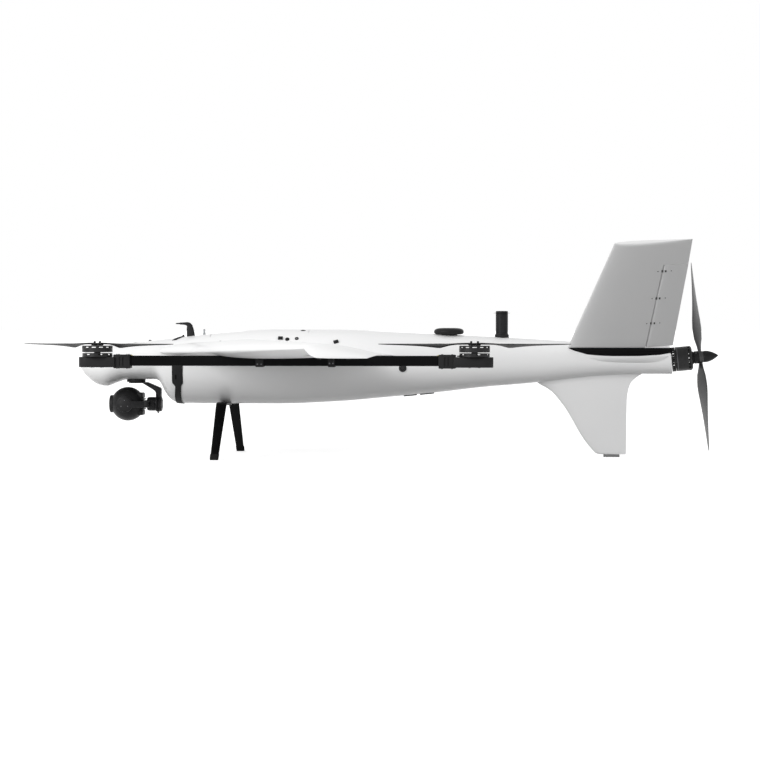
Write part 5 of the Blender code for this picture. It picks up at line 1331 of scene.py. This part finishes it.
ax = X(1.3092)
prof = [(0, 0.3580), (0.0212, 0.3580), (0.0216, 0.3590), (0.0216, 0.3738), (0.0206, 0.3750), (0.0190, 0.3762), (0.0187, 0.3772), (0.0187, 0.4440), (0.0183, 0.4458), (0.0172, 0.4467), (0.0100, 0.4470), (0, 0.4470)]
aerial = turned("aerial", prof, BLACK, (ax, 0, 0), None, 80)
cuts = [turned("g", [(0.0182, z), (0.025, z), (0.025, z + 0.0008), (0.0182, z + 0.0008)], BLACK, (ax, 0, 0), None, 80) for z in (0.3800, 0.4400)]
boolean(aerial, cuts, "DIFFERENCE", 30.0)
put(join("telemetry_aerial_body", [aerial]), "airframe", "black_plastic", "telemetry_aerial")

# small fittings along the left shoulder beside the hatch: latch, cap, socket ring and a tilted clip
for side, hand in ((-1, "left"),):
    bits = []

    def shoulder(f, z):
        a = angle_at(f, z=z, side=side)
        return skin_point(f, a), skin_normal(f, a)

    p, n = shoulder(0.6362, 0.3625)
    rot = along(n)
    bits.append(box("latch", (p.x - 0.0072, p.y - 0.0055, p.z - 0.0006), (p.x + 0.0072, p.y + 0.0055, p.z + 0.0052), BLACK, 0.0010, 2, rot, p))
    p, n = shoulder(0.6575, 0.3600)
    bits.append(turned("cap", [(0, 0.0032), (0.0045, 0.0032), (0.0062, 0.0022), (0.0070, -0.0005), (0, -0.0005)], BLACK, p, along(n), 36))
    p, n = shoulder(0.6863, 0.3620)
    bits.append(turned("socket", [(0.0030, 0.0024), (0.0048, 0.0028), (0.0058, 0.0018), (0.0060, -0.0006), (0.0030, -0.0006)], BLACK, p, along(n), 36))
    bits.append(turned("pinhole", [(0, 0.0008), (0.0030, 0.0008), (0.0030, -0.0006), (0, -0.0006)], BRIGHT, p, along(n), 24))
    p, n = shoulder(0.8078, 0.3515)
    rot = along(n) @ Matrix.Rotation(math.radians(20), 3, "Z")
    bits.append(box("clip", (p.x - 0.0075, p.y - 0.0052, p.z - 0.0006), (p.x + 0.0075, p.y + 0.0052, p.z + 0.0050), BLACK, 0.0012, 2, rot, p))
    put(join(f"shoulder_fittings_{hand}", bits), "airframe", "black_plastic")

# belly: two low dark strips on the centre line
bits = []
for f0, f1 in ((1.0080, 1.0480), (1.0580, 1.1010)):
    rings = []
    for k in range(9):
        f = f0 + (f1 - f0) * k / 8
        z = BOTTOM(f)
        w = 0.0100 * (1 if 0 < k < 8 else 0.8)
        rings.append([(X(f), -w, z + 0.0012), (X(f), w, z + 0.0012), (X(f), w * 0.85, z - 0.0030), (X(f), -w * 0.85, z - 0.0030)])
    bits.append(loft("strip", rings, BLACK_SOFT, 30.0))
put(join("belly_strips", bits), "airframe", "black_plastic")

# the boots that the tail panels plug into
for side, hand in ((-1, "left"), (1, "right")):
    finish_node(f"tail_root_{hand}", CARBON, "black_carbon")

# inside the bay: battery with end caps, straps and a connector; and the controller
lo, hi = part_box("battery_pack")
cells = []
for k in range(6):
    y0 = lo[1] + (hi[1] - lo[1]) * k / 6
    y1 = lo[1] + (hi[1] - lo[1]) * (k + 1) / 6
    cells.append(box("cell", (lo[0] + 0.004, y0 + 0.0003, lo[2]), (hi[0] - 0.004, y1 - 0.0003, hi[2]), BATTERY, 0.0035, 3))
for x0 in (lo[0], hi[0] - 0.010):
    cells.append(box("cap", (x0, lo[1], lo[2] + 0.0005), (x0 + 0.010, hi[1], hi[2] - 0.0005), BLACK, 0.002, 2))
for fx in (0.28, 0.72):
    x0 = lo[0] + (hi[0] - lo[0]) * fx
    cells.append(box("strap", (x0 - 0.010, lo[1] - 0.0008, hi[2] - 0.0040), (x0 + 0.010, hi[1] + 0.0008, hi[2] + 0.0012), STRAP, 0.0005, 1))
cells.append(box("plug", (lo[0] + 0.002, -0.012, hi[2] - 0.004), (lo[0] + 0.020, 0.012, hi[2] + 0.004), AMBER, 0.0015, 2))
put(join("battery_pack_cells", cells), "airframe", "battery_wrap", "battery_pack")
lo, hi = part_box("flight_controller")
bits = [box("case", lo, (hi[0], hi[1], hi[2] - 0.006), CASE, 0.003, 3), box("lid", (lo[0] + 0.006, lo[1] + 0.006, hi[2] - 0.0065), (hi[0] - 0.006, hi[1] - 0.006, hi[2]), CASE, 0.002, 3)]
for k in range(6):
    bits.append(box("port", (lo[0] + 0.012 + 0.0135 * k, lo[1] - 0.0006, lo[2] + 0.010), (lo[0] + 0.021 + 0.0135 * k, lo[1] + 0.004, lo[2] + 0.016), GREY, 0.0006, 1))
for sx in (0, 1):
    for sy in (0, 1):
        bits.append(screw((lo[0] + 0.0045 if not sx else hi[0] - 0.0045, lo[1] + 0.0045 if not sy else hi[1] - 0.0045, hi[2] - 0.0062), (0, 0, 1), 0.0022, 0.0012))
put(join("flight_controller_box", bits), "airframe", "controller_case", "flight_controller")

# ================================================================ stage, light and camera
floor = obj_from("floor", [(-400, -400, 0), (400, -400, 0), (400, 400, 0), (-400, 400, 0)], [(0, 1, 2, 3)], [])
fm, nt, sh = _new("floor_white")
n = _noise(nt, _coords(nt), 3.0, 2.0)
nt.links.new(_mix(nt, _range(nt, n, 0.0, 1.0), (0.93, 0.93, 0.93), (0.95, 0.95, 0.95)), sh.inputs["Base Color"])
sh.inputs["Roughness"].default_value = 0.9
sh.inputs["Specular IOR Level"].default_value = 0.0
sh.inputs["Emission Color"].default_value = (1, 1, 1, 1)
sh.inputs["Emission Strength"].default_value = 0.55
floor.data.materials.append(fm)
floor.location.z = -0.0002
floor.visible_diffuse = False

world = bpy.data.worlds.new("studio")
SCENE.world = world
world.use_nodes = True
wn = world.node_tree
bg = wn.nodes["Background"]
tc = wn.nodes.new("ShaderNodeTexCoord")
sep = wn.nodes.new("ShaderNodeSeparateXYZ")
wn.links.new(tc.outputs["Generated"], sep.inputs[0])
ramp = wn.nodes.new("ShaderNodeValToRGB")
ramp.color_ramp.interpolation = "EASE"
els = ramp.color_ramp.elements
LOW, SKY = 0.20, 1.0
els[0].position, els[0].color = 0.36, (LOW, LOW, LOW, 1)
els[1].position, els[1].color = 0.495, (SKY, SKY, SKY, 1)
for at, level in ((0.62, SKY), (0.80, 0.74 * SKY), (1.0, 0.74 * SKY)):
    els.new(at).color = (level, level, level, 1)
mr = wn.nodes.new("ShaderNodeMapRange")
mr.inputs["From Min"].default_value, mr.inputs["From Max"].default_value = -1.0, 1.0
wn.links.new(sep.outputs[2], mr.inputs["Value"])
wn.links.new(mr.outputs["Result"], ramp.inputs["Fac"])
wn.links.new(ramp.outputs["Color"], bg.inputs["Color"])
bg.inputs["Strength"].default_value = 1.0


def area(name, at, to, size, power):
    l = bpy.data.lights.new(name, "AREA")
    l.shape, l.size, l.energy = "SQUARE", size, power
    o = bpy.data.objects.new(name, l)
    o.location = at
    o.rotation_euler = (Vector(to) - Vector(at)).to_track_quat("-Z", "Y").to_euler()
    SCENE.collection.objects.link(o)
    return o


area("key_from_nose", (-3.3, -3.6, 1.9), (-0.4, 0, 0.3), 2.2, 115.0)

F_PX = 2606.0
cam = bpy.data.cameras.new("camera")
cam.sensor_width, cam.sensor_fit, cam.lens = 36.0, "HORIZONTAL", F_PX / 760 * 36
cam.clip_end = 1000.0
cam.dof.use_dof = False
co = bpy.data.objects.new("camera", cam)
co.location = (X(1.6094), -8.0, 0.3942)
co.rotation_euler = Vector((-220 / F_PX, 1.0, -52 / F_PX)).to_track_quat("-Z", "Y").to_euler()
SCENE.collection.objects.link(co)
SCENE.camera = co
SCENE.view_settings.view_transform = "Standard"
SCENE.view_settings.look = "None"
SCENE.cycles.max_bounces = 8
SCENE.cycles.use_denoising = True
